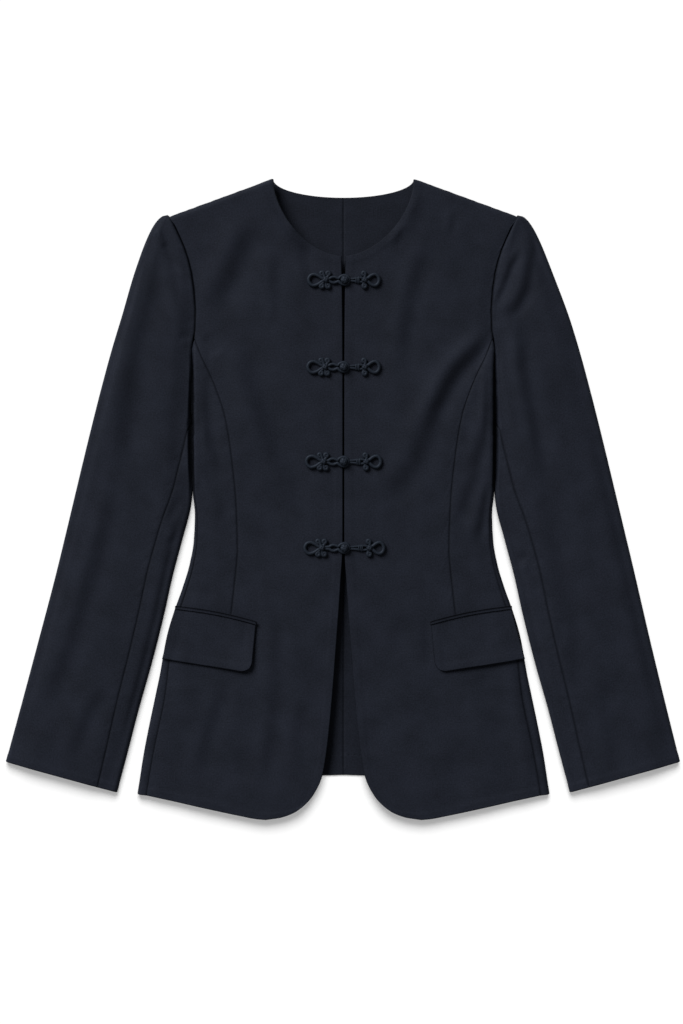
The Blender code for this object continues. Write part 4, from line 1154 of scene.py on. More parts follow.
def sleeve_place(table, way):
    """The function that places a sleeve's cloth, with one side's creases and its way to lean."""
    def place(around, position):
        part = sleeve_section(position)
        r, opening = part["radius"], part["opening"]
        wrapped = (opening == 0.0) & (around > part["total"])
        around = np.where(wrapped, around - part["total"], around)
        turn = np.clip(opening + around / r, 0.0, math.pi / 2)
        outer_turn = np.clip((around - part["top_end"]) / r, 0.0, math.pi)
        end_turn = np.clip(math.pi / 2 - (around - part["bottom_end"]) / r, 0.0, math.pi / 2)
        first = around < part["bend"]
        top = ~first & (around < part["top_end"])
        fold = ~first & ~top & (around < part["fold_end"])
        bottom = (around >= part["fold_end"]) & (around < part["bottom_end"])
        zones = [first, top, fold, bottom]
        lateral = np.select(zones, [
            part["inset"] - r * np.cos(turn),
            part["inset"] + around - part["bend"],
            part["length"] - r + r * np.sin(outer_turn),
            part["length"] - r - (around - part["fold_end"]),
        ], part["inset"] - r * np.cos(end_turn))
        share = np.clip((lateral - part["inset"]) / part["flat"], 0.0, 1.0)
        loft = SLEEVE_LOFT * np.minimum(part["length"] / SLEEVE_LOFT_WIDTH, 1.0)
        loft *= ease(np.minimum(share, 1.0 - share) * SLEEVE_LOFT_EDGE)
        spot = part["inner"] + part["across"] * lateral[..., None]
        x, y = spot[..., 0], spot[..., 1]
        x = x + way * smooth(SLEEVE_LEAN, y) * np.clip(lateral / part["length"], 0.0, 1.0)
        edge = ease(np.minimum(share, 1.0 - share) * SLEEVE_FREE_EDGE)
        loose = (limp(x, y) + creases(x, y, table)) * edge
        head = ease((y - HEAD_FOOT) / HEAD_FADE) * ease(lateral / HEAD_START)
        loose += HEAD_ROLL * head * np.exp(-(lateral / HEAD_ROLL_WIDTH) ** 2)
        beneath = np.maximum(uneven(x, y, BENEATH_SIZE, 21), 0.0) * BENEATH_RISE * edge
        wide = smooth(SIDE_GAP, y)
        pressed = VALLEY_DEPTH * ease(wide / VALLEY_FULL)
        pressed = pressed * ease((wide + VALLEY_SLOPE - lateral) / VALLEY_SLOPE)
        loft = loft - pressed
        height = np.select(zones, [(r - pressed) * np.sin(turn) + loose, r + loft + loose,
                                   r * np.cos(outer_turn), -r + beneath],
                           -r * np.sin(end_turn))
        return np.stack([x, y, FOLD_RADIUS + height], axis=-1)
    return place


cuff = sleeve_section(np.array([SECTION_COUNT - 1.0]))
print("cuff width:", round(float(cuff["length"][0]), 1), "mm")


# %% The sleeves' grids
def sleeve_positions():
    """Fine positions down the sleeve, a pitch apart on its inner edge, finer at the cuff."""
    fine = np.linspace(0, SECTION_COUNT - 1, 800)
    inner_y = sleeve_section(fine)["height"]
    run = inner_y[0] - inner_y
    at = steps_between(run[-1], NO_STEPS, EDGE_STEPS) * run[-1]
    return np.interp(at, run, fine)


sleeve_rows = sleeve_positions()
sections = sleeve_section(sleeve_rows)


END_SHARE = 0.3


def drawn_in(steps, length):
    """Fine steps, drawn together where the row is too short for them."""
    steps = np.array(steps)
    return steps if len(steps) == 1 else steps * min(1.0, END_SHARE * length / steps[-1])


def spaced(start, end, near, far, count):
    """Values from start to end, fine at both ends, always the same number of them."""
    length = end - start
    near = drawn_in(near, length)
    far = drawn_in(far, length)
    middle = np.linspace(near[-1], length - far[-1], count + 1)
    return start + np.concatenate([near[:-1], middle, (length - far[::-1])[1:]])


def sleeve_patch(rows, left, right):
    """A patch of a sleeve, whose rows are positions, with its cloth laid flat in millimetres."""
    grid = np.array(rows)
    down_it = np.broadcast_to(sections["height"][:, None], grid.shape[:2])
    flat = np.stack([grid[..., 0], down_it], axis=-1)
    return Patch(grid, left, right, "seam", "edge", flat=flat)


FOLD_POINTS = 11
FLAT_POINTS = 44
FLAT_CROWDING = 1.4
LEAD = 6.0
LEAD_SHARE = 0.35
FOLD_SHARE = 0.3
BEND_SHARE = 0.6
BENEATH_POINTS = 26
REST_POINTS = 14
SEAM_POINTS = 3
head_kind = np.where(sections["opening"] > 0.0, "armhole", "seam").astype(object)


def upper_sleeve_patches():
    rows = []
    for k, position in enumerate(sleeve_rows):
        part = {key: value[k] for key, value in sections.items()}
        start = part["front_seam"] + (half_gap if part["opening"] == 0.0 else 0.0)
        lead = start + max(part["bend"] - start, min(LEAD, LEAD_SHARE * (part["top_end"] - start)))
        over = spaced(start, lead, SEAM_STEPS, NO_STEPS, SEAM_POINTS)
        crowded = np.linspace(0.0, 1.0, FLAT_POINTS)[1:] ** FLAT_CROWDING
        flat = lead + (part["top_end"] - lead) * crowded
        fold = np.linspace(part["top_end"], part["fold_end"], FOLD_POINTS)[1:]
        wrap = spaced(part["fold_end"], part["back_seam"] - half_gap, NO_STEPS, SEAM_STEPS,
                      SEAM_POINTS)
        row = np.concatenate([over, flat, fold, wrap[1:]])
        rows.append(line(row, np.full(len(row), position)))
    return [sleeve_patch(rows, head_kind, "seam")]


def under_sleeve_patches():
    rows = []
    for k, position in enumerate(sleeve_rows):
        part = {key: value[k] for key, value in sections.items()}
        start = part["back_seam"] + half_gap
        end = part["total"] + (part["front_seam"] - half_gap if part["opening"] == 0.0 else 0.0)
        fold_start = end - max(end - part["bottom_end"], min(LEAD, FOLD_SHARE * part["flat"]))
        bend = min(math.pi * part["radius"], BEND_SHARE * (end - fold_start))
        beneath = spaced(start, fold_start, SEAM_STEPS, NO_STEPS, BENEATH_POINTS)
        fold = np.linspace(fold_start, fold_start + bend, FOLD_POINTS)[1:]
        rest = spaced(fold_start + bend, end, NO_STEPS, SEAM_STEPS, REST_POINTS)
        row = np.concatenate([beneath, fold, rest[1:]])
        rows.append(line(row, np.full(len(row), position)))
    return [sleeve_patch(rows, "seam", head_kind)]


print("rows down a sleeve:", len(sleeve_rows))

# %% [markdown]
# ## Pocket flaps and welts
# Each pocket has a flap of doubled cloth with a round front corner, and a narrow welt over its
# top line. They lie on the front, so they are made from the front's own height, moved out.

# %% Flaps and welts
FLAP_CLOTH = 2.2
WELT_CLOTH = 1.8
FLAP_TOP_FRONT = np.array([95.5, -138.4])
FLAP_TOP_SIDE = np.array([184.0, -121.3])
FLAP_FOOT_SIDE = np.array([198.3, -174.9])
FLAP_FOOT_HEIGHT = -188.6
FLAP_FOOT_FRONT = 99.0
FLAP_CORNER = 13.0
POCKET_BOW = 2.4
WELT_DEPTH = 4.2
WELT_PAST_FLAP = 0.8
WELT_GAP = 0.3
FLAP_EDGE_STEPS = (0.0, 1.2, 2.2, 3.4, 5.0)
FLAP_SIZE = (90.0, 50.0)
FLAP_PITCH = 2.0
WELT_POINTS = 46
WELT_ROWS = (1.0, 0.9, 0.78, 0.6, 0.3, 0.0)
FLAP_PUFF = {"left": (1.8, 160.0, -184.0, 30.0), "right": (2.4, 104.0, -186.0, 22.0)}


def pocket_line(shares):
    """The pocket's slightly bowed line, from the front to the side."""
    shares = np.asarray(shares)
    run = FLAP_TOP_SIDE - FLAP_TOP_FRONT
    up = np.array([-run[1], run[0]]) / np.linalg.norm(run)
    bow = POCKET_BOW * 4 * shares * (1 - shares)
    return FLAP_TOP_FRONT + shares[:, None] * run + bow[:, None] * up


def flap_patches():
    centre = np.array([FLAP_FOOT_FRONT + FLAP_CORNER, FLAP_FOOT_HEIGHT + FLAP_CORNER])
    turn = np.linspace(0.0, math.pi / 2, 24)
    corner = centre - FLAP_CORNER * np.stack([np.cos(turn), np.sin(turn)], axis=-1)
    middle = len(turn) // 2
    top = pocket_line(np.linspace(0.0, 1.0, 30))
    left = np.concatenate([[FLAP_TOP_FRONT], corner[:middle + 1]])
    bottom = np.concatenate([corner[middle:], [FLAP_FOOT_SIDE]])
    right = np.array([FLAP_TOP_SIDE, FLAP_FOOT_SIDE])
    across = steps_between(FLAP_SIZE[0], FLAP_EDGE_STEPS, FLAP_EDGE_STEPS, FLAP_PITCH)
    lengthwise = steps_between(FLAP_SIZE[1], NO_STEPS, FLAP_EDGE_STEPS, FLAP_PITCH)
    grid = coons(top, bottom, left, right, across, lengthwise)
    return [Patch(grid, "edge", "edge", "none", "edge")]


def welt_patches():
    along_top = np.linspace(0.0, 1.0, WELT_POINTS)
    low = pocket_line(along_top)
    past = np.stack([-WELT_PAST_FLAP * (1 - along_top), np.full(WELT_POINTS, WELT_GAP)], axis=-1)
    low = low + past
    drops = np.array(WELT_ROWS)[:, None, None]
    grid = low[None] + drops * np.array([0.0, WELT_DEPTH])
    return [Patch(grid, "edge", "edge", "armhole", "edge")]


def laid_place(table, lift, puff=(0.0, 0.0, 0.0, 1.0)):
    """Place cloth on a front, a gap above it, and higher about a spot where it stands off."""
    height, puff_x, puff_y, spread = puff

    def place(x, y):
        away = (x - puff_x) ** 2 + (y - puff_y) ** 2
        z = top_height(x, y, table) + LAY_GAP + lift + height * np.exp(-away / spread ** 2)
        return np.stack([x, y, z], axis=-1)
    return place


flap_depth = float(np.linalg.norm(FLAP_FOOT_SIDE - FLAP_TOP_SIDE))
print("flap:", round(flap_depth, 1), "mm deep at the side")

# %% [markdown]
# ## Sewing it together
# Each panel takes the place of one CAD node. A piece of cloth also says how large its flat cut
# is, so that a maker could cut it: the longest row and column of its pattern, and its area.

# %% Build the cloth
SHORTEST_FLAT = 10.0
BODY_CREASES = {"left": CREASES_LEFT, "right": CREASES_RIGHT}
SLEEVE_CREASES = {"left": CREASES_SLEEVE_LEFT, "right": CREASES_SLEEVE_RIGHT}


def dress(piece, node):
    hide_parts(node)
    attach(piece, "root")


def flat_size(patches, place):
    """Width and length of a cut: its longest row and column, or its reach where that is less."""
    flat = np.concatenate([patch.flat.reshape(-1, 2) for patch in patches])
    reach = flat.max(axis=0) - flat.min(axis=0)
    width = 0.0
    length = 0.0
    for patch in patches:
        spots = place(patch.grid[..., 0], patch.grid[..., 1])
        width = max(width, runs(spots, 1)[0][:, -1].max())
        length += runs(spots, 0)[0][-1].max()
    return min(width, reach[0]), min(length, reach[1])


def sew_panel(stem, hand, patches, place, facing, thickness=CLOTH):
    """Make a panel, put it in its node's place and state how large its flat cut is."""
    side = 1 if hand == "left" else -1
    node = f"{stem}_{hand}"
    piece, area = cloth_piece(node + "_cloth", patches, place, side, facing, suiting, thickness)
    width, length = flat_size(patches, place)
    length = max(length, SHORTEST_FLAT)
    area = min(area, width * length)
    dress(piece, node)
    print(node, "flat:", round(width), "x", round(length), "mm,", round(area / 100), "cm2, faces:",
          len(piece.data.polygons))


for hand in ("left", "right"):
    body = body_place(BODY_CREASES[hand])
    sleeve = sleeve_place(SLEEVE_CREASES[hand], 1.0 if hand == "left" else -1.0)
    lower = back_place(BODY_CREASES[hand])
    sew_panel("back", hand, back_patches(), lower, 1)
    sew_panel("front", hand, front_patches(), body, -1)
    sew_panel("side_front", hand, side_front_patches(), body, -1)
    sew_panel("under_sleeve", hand, under_sleeve_patches(), sleeve, -1)
    sew_panel("upper_sleeve", hand, upper_sleeve_patches(), sleeve, -1)
    flap = laid_place(BODY_CREASES[hand], FLAP_CLOTH, FLAP_PUFF[hand])
    sew_panel("pocket_flap", hand, flap_patches(), flap, -1, FLAP_CLOTH)
    welt = laid_place(BODY_CREASES[hand], WELT_CLOTH)
    sew_panel("pocket_welt", hand, welt_patches(), welt, 1, WELT_CLOTH)

# %% [markdown]
# ## Frogs
# A frog is sewn from one long rouleau. It is coiled into a loop at each end and into the petals
# of a flower, and it ends in a button loop on one side and in a knot on the other. Geometry
# Nodes sweep a round profile along every path at once, and each path keeps its own thickness.

# %% A tree that sweeps a cord
CORD_SIDES = 12
GIRTH = 0.0084


def cord_tree(surface):
    """Sweep a round cord along curves; its thickness is a share of each point's radius."""
    tree = bpy.data.node_groups.new("rouleau_cord", "GeometryNodeTree")
    tree.interface.new_socket("Paths", in_out="INPUT", socket_type="NodeSocketGeometry")
    fullness = tree.interface.new_socket("Fullness", in_out="INPUT", socket_type="NodeSocketFloat")
    sides = tree.interface.new_socket("Sides", in_out="INPUT", socket_type="NodeSocketInt")
    fullness.default_value = 1.0
    sides.default_value = CORD_SIDES
    tree.interface.new_socket("Cord", in_out="OUTPUT", socket_type="NodeSocketGeometry")
    given = add(tree, "NodeGroupInput")
    profile = add(tree, "GeometryNodeCurvePrimitiveCircle", {"mode": "RADIUS"},
                  Resolution=given.outputs["Sides"], Radius=1.0)
    turn = add(tree, "GeometryNodeSplineParameter")
    round_it = add(tree, "GeometryNodeStoreNamedAttribute",
                   {"data_type": "FLOAT", "domain": "POINT"}, _0=profile.outputs[0],
                   Name="round", Value=turn.outputs["Factor"])
    travel = add(tree, "GeometryNodeStoreNamedAttribute",
                 {"data_type": "FLOAT", "domain": "POINT"}, _0=given.outputs["Paths"],
                 Name="travel", Value=turn.outputs["Length"])
    thick = add(tree, "GeometryNodeInputRadius")
    scale = add(tree, "ShaderNodeMath", {"operation": "MULTIPLY"}, _0=thick.outputs[0],
                _1=given.outputs["Fullness"])
    swept = add(tree, "GeometryNodeCurveToMesh", Curve=travel.outputs[0],
                Profile_Curve=round_it.outputs[0], Scale=scale.outputs[0], Fill_Caps=True)
    read_round = add(tree, "GeometryNodeInputNamedAttribute", {"data_type": "FLOAT"}, Name="round")
    read_travel = add(tree, "GeometryNodeInputNamedAttribute", {"data_type": "FLOAT"},
                      Name="travel")
    girth = add(tree, "ShaderNodeMath", {"operation": "MULTIPLY"}, _0=read_round.outputs[0],
                _1=GIRTH)
    pair = add(tree, "ShaderNodeCombineXYZ", X=read_travel.outputs[0], Y=girth.outputs[0])
    mapped = add(tree, "GeometryNodeStoreNamedAttribute",
                 {"data_type": "FLOAT2", "domain": "CORNER"}, _0=swept.outputs[0],
                 Name="cord_uv", Value=pair.outputs[0])
    soft = add(tree, "GeometryNodeSetShadeSmooth", _0=mapped.outputs[0])
    real = add(tree, "GeometryNodeRealizeInstances", _0=soft.outputs[0])
    coloured = add(tree, "GeometryNodeSetMaterial", _0=real.outputs[0], Material=surface)
    result = add(tree, "NodeGroupOutput")
    tree.links.new(coloured.outputs[0], result.inputs[0])
    return tree


rouleau_tree = cord_tree(rouleau)
print("nodes in the cord tree:", len(rouleau_tree.nodes))


# %% A sweep: curves in, a plain mesh out
def sweep(name, paths, sides=CORD_SIDES, tree=rouleau_tree):
    """A mesh object of cords. Each path is (points in mm, radius in mm, closed or not)."""
    curve = bpy.data.curves.new(name + "_paths", "CURVE")
    curve.dimensions = "3D"
    for points, radius, closed in paths:
        spline = curve.splines.new("POLY")
        spline.points.add(len(points) - 1)
        places = np.concatenate([points * MM, np.ones((len(points), 1))], axis=1)
        spline.points.foreach_set("co", places.ravel())
        spline.points.foreach_set("radius", np.broadcast_to(radius, len(points)) * MM)
        spline.use_cyclic_u = closed
    carrier = bpy.data.objects.new(name + "_paths", curve)
    bpy.context.scene.collection.objects.link(carrier)
    maker = carrier.modifiers.new("rouleau", "NODES")
    maker.node_group = tree
    names = {item.name: item.identifier for item in tree.interface.items_tree
             if item.item_type == "SOCKET" and item.in_out == "INPUT"}
    maker[names["Fullness"]] = 1.0
    maker[names["Sides"]] = sides
    graph = bpy.context.evaluated_depsgraph_get()
    mesh = bpy.data.meshes.new_from_object(carrier.evaluated_get(graph), depsgraph=graph)
    mesh.name = name
    bpy.data.objects.remove(carrier, do_unlink=True)
    piece = bpy.data.objects.new(name, mesh)
    bpy.context.scene.collection.objects.link(piece)
    return piece


print("sides of a cord:", CORD_SIDES)

# %% [markdown]
# ## The parts of a frog
# Every cord is first drawn flat, as a few points that a smooth curve joins, and is then laid on
# the front at its own radius, so that it touches the cloth everywhere. The knot and the flower's
# middle are Turk's heads: the cord runs round a ball and swings up and down as it goes, which a
# sine gives. Modelling each strand by hand would take long and wouldn't lie as evenly.

# %% Frog sizes: height, both tips and the knot's place, then the cords' radii
FROGS = (
    (239.0, -40.2, 40.8, 1.2),
    (144.0, -41.0, 41.0, 0.2),
    (40.7, -42.5, 42.5, 0.2),
    (-53.5, -44.3, 46.0, 1.0),
)
FROG_GAP = 0.05
LOOP_CORD = 1.95
PETAL_CORD = 1.85
BUTTON_CORD = 1.65
STEM_CORD = 1.3
WRAP_CORD = 0.75
KNOT_RADIUS = 4.3
KNOT_HALF_HEIGHT = 3.1
KNOT_CORD = 1.9
LOOP_HALF_LENGTH = 8.2
LOOP_HALF_WIDTH = 8.0
FLOWER_BALL = 3.3
FLOWER_HALF_HEIGHT = 2.6
FLOWER_CORD = 1.3
FLOWER_LIFT = 3.4
KNOT_LIFT = 1.8
LEFT_FLOWER_IN = 4.3
RIGHT_FLOWER_IN = 1.2
PETAL_RING = 1.8
PETAL_COIL = (
    (-140.0, 1.0), (-95.0, 1.0), (-45.0, 1.0), (0.0, 1.0), (45.0, 1.0), (95.0, 1.0), (140.0, 0.95),
    (190.0, 0.75), (235.0, 0.5),
)
LOOP_PETALS = ((-4.0, 6.8), (2.8, 6.8), (-4.2, -6.6), (2.4, -6.7))
STEM_PETALS = ((-1.0, 6.7), (-0.4, -6.6))
LOOP_SHAPE = ((0.0, 0.1), (0.2, 0.3), (0.42, 0.74), (0.62, 0.98), (0.8, 0.94), (0.94, 0.56),
              (1.0, 0.0))
BUTTON_START = (0.9, 0.0)
BUTTON_SHAPE = (
    (-17.0, 1.3, 0.1), (-14.2, 2.7, 0.2), (-11.0, 3.1, 0.3), (-8.2, 2.2, 0.5), (-6.4, 1.6, 0.7),
    (-4.6, 3.4, 0.8), (-1.0, 4.9, 0.8), (3.0, 4.1, 0.8), (4.9, 0.0, 0.8),
)
PETAL_START = (4.8, 0.5, 0.2)
print("frogs:", len(FROGS))


# %% Laying cords on the front
def curve_through(points, spacing, closed):
    """Even points on a smooth curve through a few."""
    points = np.array(points, float)
    count = len(points)
    spans = count if closed else count - 1
    fine = []
    for k in range(spans):
        four = np.arange(k - 1, k + 3)
        four = four % count if closed else np.clip(four, 0, count - 1)
        before, start, end, after = points[four]
        for s in np.linspace(0, 1, 16, endpoint=False):
            fine.append(0.5 * (2 * start + (end - before) * s
                               + (2 * before - 5 * start + 4 * end - after) * s * s
                               + (3 * start - before - 3 * end + after) * s ** 3))
    fine.append(points[0] if closed else points[-1])
    fine = np.array(fine)
    run = np.concatenate([[0.0], np.cumsum(np.linalg.norm(np.diff(fine, axis=0), axis=1))])
    steps = max(int(run[-1] / spacing), 6)
    at = np.linspace(0.0, run[-1], steps, endpoint=not closed)
    return np.stack([np.interp(at, run, fine[:, k]) for k in range(3)], axis=-1)


def cloth_under(x, y):
    """Height of the front under a frog, on the side where the point is."""
    x = np.asarray(x, float)
    left = top_height(np.abs(x), y, CREASES_LEFT)
    right = top_height(np.abs(x), y, CREASES_RIGHT)
    return np.where(x > 0, left, right) + FROG_GAP


def lay(points, radius):
    """Lay flat points (x, y, height over the cloth) on the front, for a cord of this radius."""
    points = np.array(points, float)
    z = cloth_under(points[:, 0], points[:, 1]) + radius + points[:, 2]
    return np.stack([points[:, 0], points[:, 1], z], axis=-1)


first_y, _, _, first_x = FROGS[0]
print("the first knot lies over cloth", round(float(cloth_under(first_x, first_y)), 1), "mm high")

# %% Loops and petals
CORD_SPACING = 0.5
LOOP_SPACING = 0.6


def mirrored(upper, y):
    """A loop's points: the upper half, then the same half turned down about its middle line."""
    return upper + [(x, 2 * y - spot, z) for x, spot, z in reversed(upper[:-1])]


def end_loop(tip, flower, y):
    """The loop at a frog's end: a drop of cord whose two ends meet in the flower."""
    direction = 1.0 if tip > flower else -1.0
    reach = abs(tip - flower) - LOOP_CORD
    wide = LOOP_HALF_WIDTH - LOOP_CORD
    upper = [(flower + direction * reach * s, y + wide * w, 0.0) for s, w in LOOP_SHAPE]
    path = curve_through(lay(mirrored(upper, y), LOOP_CORD), LOOP_SPACING, False)
    return path, LOOP_CORD, False


def petal(flower_x, y, offset):
    """A cord that leaves the flower's middle and coils into a small disc."""
    offset = np.array(offset)
    ahead = offset / np.linalg.norm(offset)
    beside = np.array([-ahead[1], ahead[0]])
    centre = np.array([flower_x, y]) + offset
    back_way, sideways, height = PETAL_START
    points = [(*(centre - ahead * back_way - beside * sideways), height)]
    for degrees, share in PETAL_COIL:
        turn = math.radians(degrees)
        spot = centre + PETAL_RING * share * (ahead * math.cos(turn) + beside * math.sin(turn))
        points.append((*spot, 0.0))
    return curve_through(lay(points, PETAL_CORD), CORD_SPACING, False), PETAL_CORD, False


def button_loop(flower_x, knot_x, y):
    """The loop from the flower: an almond, pinched before the knot and round under it."""
    shape = ((flower_x - knot_x, *BUTTON_START), *BUTTON_SHAPE)
    upper = [(knot_x + x, y + w, z) for x, w, z in shape]
    path = curve_through(lay(mirrored(upper, y), BUTTON_CORD), CORD_SPACING, False)
    return path, BUTTON_CORD, False


print("petals:", len(LOOP_PETALS), "on the loop half,", len(STEM_PETALS), "on the button half")

# %% Wound balls
LEADS = 3
BIGHTS = 4
BALL_STEPS = 46
BALL_TILT = math.radians(66)
OVER_UNDER = 0.10
FILLING_INSET = 0.45


def ball(centre, radius, half_height, cord):
    """A cord wound into a ball, as a Turk's head: it passes over and under itself."""
    t = np.linspace(0.0, 2 * math.pi, BALL_STEPS * BIGHTS, endpoint=False)
    rise = np.sin(BIGHTS * t) * BALL_TILT
    turn = LEADS * t
    weave_height = 1.0 + OVER_UNDER * np.cos(BIGHTS * (LEADS - 1) * t)
    around = (radius - cord) * np.cos(rise) * weave_height
    x = centre[0] + around * np.cos(turn)
    y = centre[1] + around * np.sin(turn)
    z = centre[2] + (half_height - cord) * np.sin(rise) * weave_height
    return np.stack([x, y, z], axis=-1), cord, True


def knob(centre, radius, half_height, cord):
    """A wound ball with its filling: the cord round it, and the turns below that fill its gaps."""
    inset = FILLING_INSET * cord
    inner = ball(centre, radius - inset, half_height - inset, cord)
    return [ball(centre, radius, half_height, cord), inner]


def flower_ball(x, y):
    """The wound ball in the middle of a flower."""
    height = float(cloth_under(x, y)) + FLOWER_LIFT
    return knob((x, y, height), FLOWER_BALL, FLOWER_HALF_HEIGHT, FLOWER_CORD)


print("a knot is", 2 * KNOT_RADIUS, "mm wide and", 2 * KNOT_HALF_HEIGHT, "mm high")

# %% The stem and the turns that bind it
STEM_NEAR = ((0.5, 0.4), (4.0, 1.2), (8.0, 1.15))
STEM_FAR = ((0.62, 1.8), (0.8, 2.3), (1.0, 1.2))
WRAP_SHARES = (0.56, 0.63, 0.70)
WRAP_POINTS = 24
WRAP_WIDTH = 2.9
WRAP_WIDENS = 4.0
WRAP_SLANT = 0.3
WRAP_HEIGHT = 1.35
WRAP_BOTTOM = -0.6


def stem_cords(knot_x, flower_x, y):
    """Two cords from the knot to the flower, and the turns that bind them."""
    length = flower_x - knot_x
    shape = STEM_NEAR + tuple((length * share, w) for share, w in STEM_FAR)
    paths = []
    for way in (1.0, -1.0):
        points = [(knot_x + x, y + way * w, 0.0) for x, w in shape]
        path = curve_through(lay(points, STEM_CORD), CORD_SPACING, False)
        paths.append((path, STEM_CORD, False))
    turn = np.linspace(0.0, 2 * math.pi, WRAP_POINTS, endpoint=False)
    for share in WRAP_SHARES:
        x, middle, z = lay([(knot_x + length * share, y, 0.0)], STEM_CORD)[0]
        wide = WRAP_WIDTH + WRAP_WIDENS * (share - WRAP_SHARES[0])
        ring = np.stack([x + WRAP_SLANT * np.sin(turn), middle + wide * np.cos(turn),
                         z + WRAP_HEIGHT * np.maximum(np.sin(turn), WRAP_BOTTOM)], axis=-1)
        paths.append((ring, WRAP_CORD, True))
    return paths


def cord_length(paths):
    """Length of the cord in some paths, in millimetres."""
    return round(sum(length_of(points) for points, _, _ in paths))


print("turns round each stem:", len(WRAP_SHARES))

# %% Build the frogs
for number, (y, left_tip, right_tip, knot_x) in enumerate(FROGS, start=1):
    name = f"frog_{number}"
    left_flower = left_tip + 2 * LOOP_HALF_LENGTH + LEFT_FLOWER_IN
    right_flower = right_tip - 2 * LOOP_HALF_LENGTH - RIGHT_FLOWER_IN
    loop_paths = [end_loop(left_tip, left_flower, y), button_loop(left_flower, knot_x, y)]
    loop_paths += [petal(left_flower, y, offset) for offset in LOOP_PETALS]
    loop_paths += flower_ball(left_flower, y)
    stem_paths = [end_loop(right_tip, right_flower, y)] + stem_cords(knot_x, right_flower, y)
    stem_paths += [petal(right_flower, y, offset) for offset in STEM_PETALS]
    stem_paths += flower_ball(right_flower, y)
    knot_z = float(cloth_under(knot_x, y)) + KNOT_LIFT + KNOT_HALF_HEIGHT
    knot_paths = knob((knot_x, y, knot_z), KNOT_RADIUS, KNOT_HALF_HEIGHT, KNOT_CORD)
    for part, paths in (("loop", loop_paths), ("stem", stem_paths), ("knot", knot_paths)):
        dress(sweep(f"{name}_{part}_cord", paths), f"{name}_{part}")
        print(f"{name}_{part}:", cord_length(paths), "mm of cord")

# %% [markdown]
# ## Hem stitches
# The back's hem is turned up inside and sewn by hand. Short slanting stitches of a dark thread
# catch its edge, and the same tree sweeps them, with fewer sides because they are so thin.

# %% Hem stitches
STITCH_PITCH = 6.0
STITCH_LENGTH = 2.6
STITCH_SLANT = 1.4
STITCH_RADIUS = 0.22
STITCH_SIDES = 6
STITCH_START = 4.0
STITCH_END = 190.0
thread_tree = cord_tree(suiting)


def hem_stitches(table):
    """Paths of the stitches along the edge of the turned-up hem, on the back's inner face."""
    paths = []
    place = back_place(table)
    for start in np.arange(STITCH_START, STITCH_END, STITCH_PITCH):
        x = np.linspace(start, start + STITCH_LENGTH, 3)
        y = back_hem(x) + HEM_TURN_UP + STITCH_SLANT * np.linspace(-0.5, 0.5, 3)
        points = place(x, y)
        points[:, 2] += CLOTH + HEM_RAISE * 0.5 + np.array([0.0, STITCH_RADIUS, 0.0])
        paths.append((points, STITCH_RADIUS, False))
    return paths


for hand in ("left", "right"):
    side = 1.0 if hand == "left" else -1.0
    paths = [(points * np.array([side, 1.0, 1.0]), radius, closed)
             for points, radius, closed in hem_stitches(BODY_CREASES[hand])]
    stitches = sweep(f"back_{hand}_stitches", paths, STITCH_SIDES, thread_tree)
    dress(stitches, f"back_{hand}")
    print(stitches.name, len(paths), "stitches")
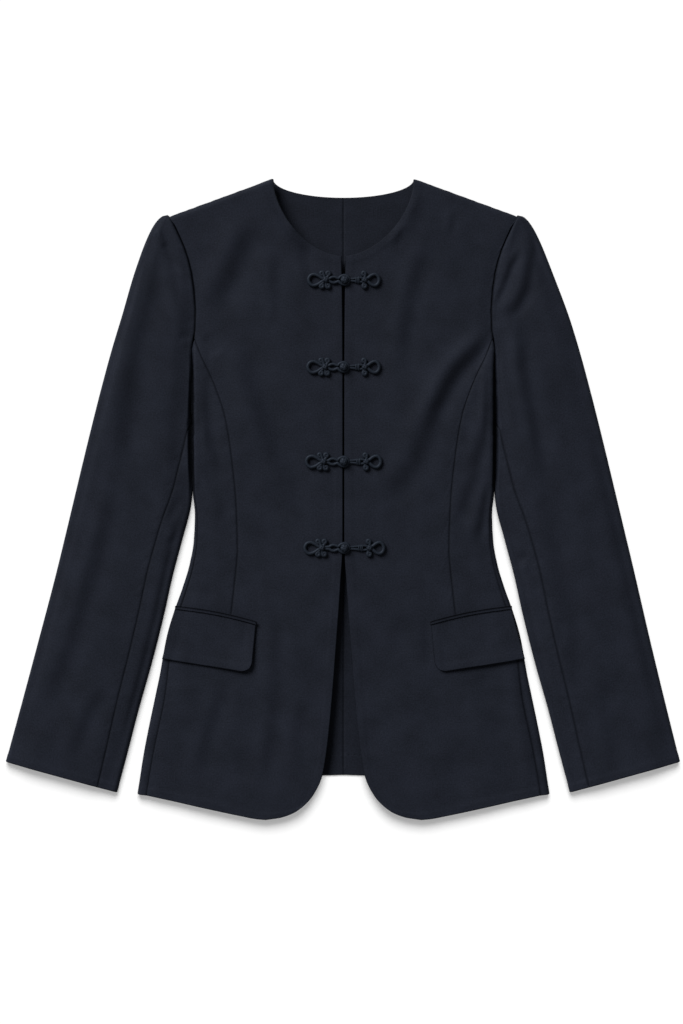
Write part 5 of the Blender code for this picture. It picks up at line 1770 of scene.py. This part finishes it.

# %% [markdown]
# ## Floor
# The photograph's ground is nearly white paper with hardly a texture. A large plane just below
# the jacket gives it, and it glows a little, because white ground is lit from all round in a
# studio. It is stage, not part of the jacket.

# %% Floor
FLOOR_HALF = 12.0
FLOOR_LOW = -0.0002
mesh = bpy.data.meshes.new("floor")
corners = ((-1, -1), (1, -1), (1, 1), (-1, 1))
mesh.from_pydata([(x * FLOOR_HALF, y * FLOOR_HALF, FLOOR_LOW) for x, y in corners], [],
                 [(0, 1, 2, 3)])
floor = bpy.data.objects.new("floor", mesh)
bpy.context.scene.collection.objects.link(floor)
paper, tree, shader = new_material("white_paper", Roughness=0.95, Specular_IOR_Level=0.1,
                                   Emission_Strength=0.25)
fibre = add(tree, "ShaderNodeTexNoise", Scale=300.0, Detail=2.0,
            Vector=add(tree, "ShaderNodeTexCoord").outputs["Object"])
tone = add(tree, "ShaderNodeValToRGB", _0=fibre.outputs[0])
tone.color_ramp.elements[0].color = linear("E4E4E4")
tone.color_ramp.elements[1].color = linear("EAEAEA")
tree.links.new(tone.outputs[0], shader.inputs["Base Color"])
mesh.materials.append(paper)
print("floor made")

# %% [markdown]
# ## Light
# Dark cloth on white ground is hard to light. A lamp from the upper left, low enough to graze the
# folds, shows their form, but its shadows on the ground would be long. The photograph has short
# ones, below the hems alone. So two distant soft lamps share the work: the key lights only the
# garment, the fill lights only the floor, and an even sky keeps the shadows open.

# %% Light
SKY_STRENGTH = 0.27
KEY_FROM = (-0.52, 0.60, 0.58)
KEY_SPREAD = 34.0
KEY_STRENGTH = 5.55
FILL_FROM = (-0.05, 0.72, 0.70)
FILL_SPREAD = 40.0
FILL_STRENGTH = 3.4
bpy.context.scene.view_settings.view_transform = "Standard"
world = bpy.data.worlds.new("studio")
world.use_nodes = True
sky = world.node_tree.nodes["Background"]
sky.inputs["Color"].default_value = (1.0, 1.0, 1.0, 1.0)
sky.inputs["Strength"].default_value = SKY_STRENGTH
bpy.context.scene.world = world


def window(name, comes_from, spread, strength, lit):
    """A distant soft light on some objects, from a direction, with its width in degrees."""
    data = bpy.data.lights.new(name, "SUN")
    data.angle = math.radians(spread)
    data.energy = strength
    lamp = bpy.data.objects.new(name, data)
    x, y, z = comes_from
    lamp.rotation_euler = (math.acos(z / math.sqrt(x * x + y * y + z * z)), 0.0,
                           math.atan2(y, x) + math.pi / 2)
    bpy.context.scene.collection.objects.link(lamp)
    receivers = bpy.data.collections.new(name + "_lights")
    for each in lit:
        receivers.objects.link(each)
    lamp.light_linking.receiver_collection = receivers


garment = [each for each in bpy.data.objects if each.type == "MESH" and each is not floor]
window("key", KEY_FROM, KEY_SPREAD, KEY_STRENGTH, garment)
window("fill", FILL_FROM, FILL_SPREAD, FILL_STRENGTH, [floor])
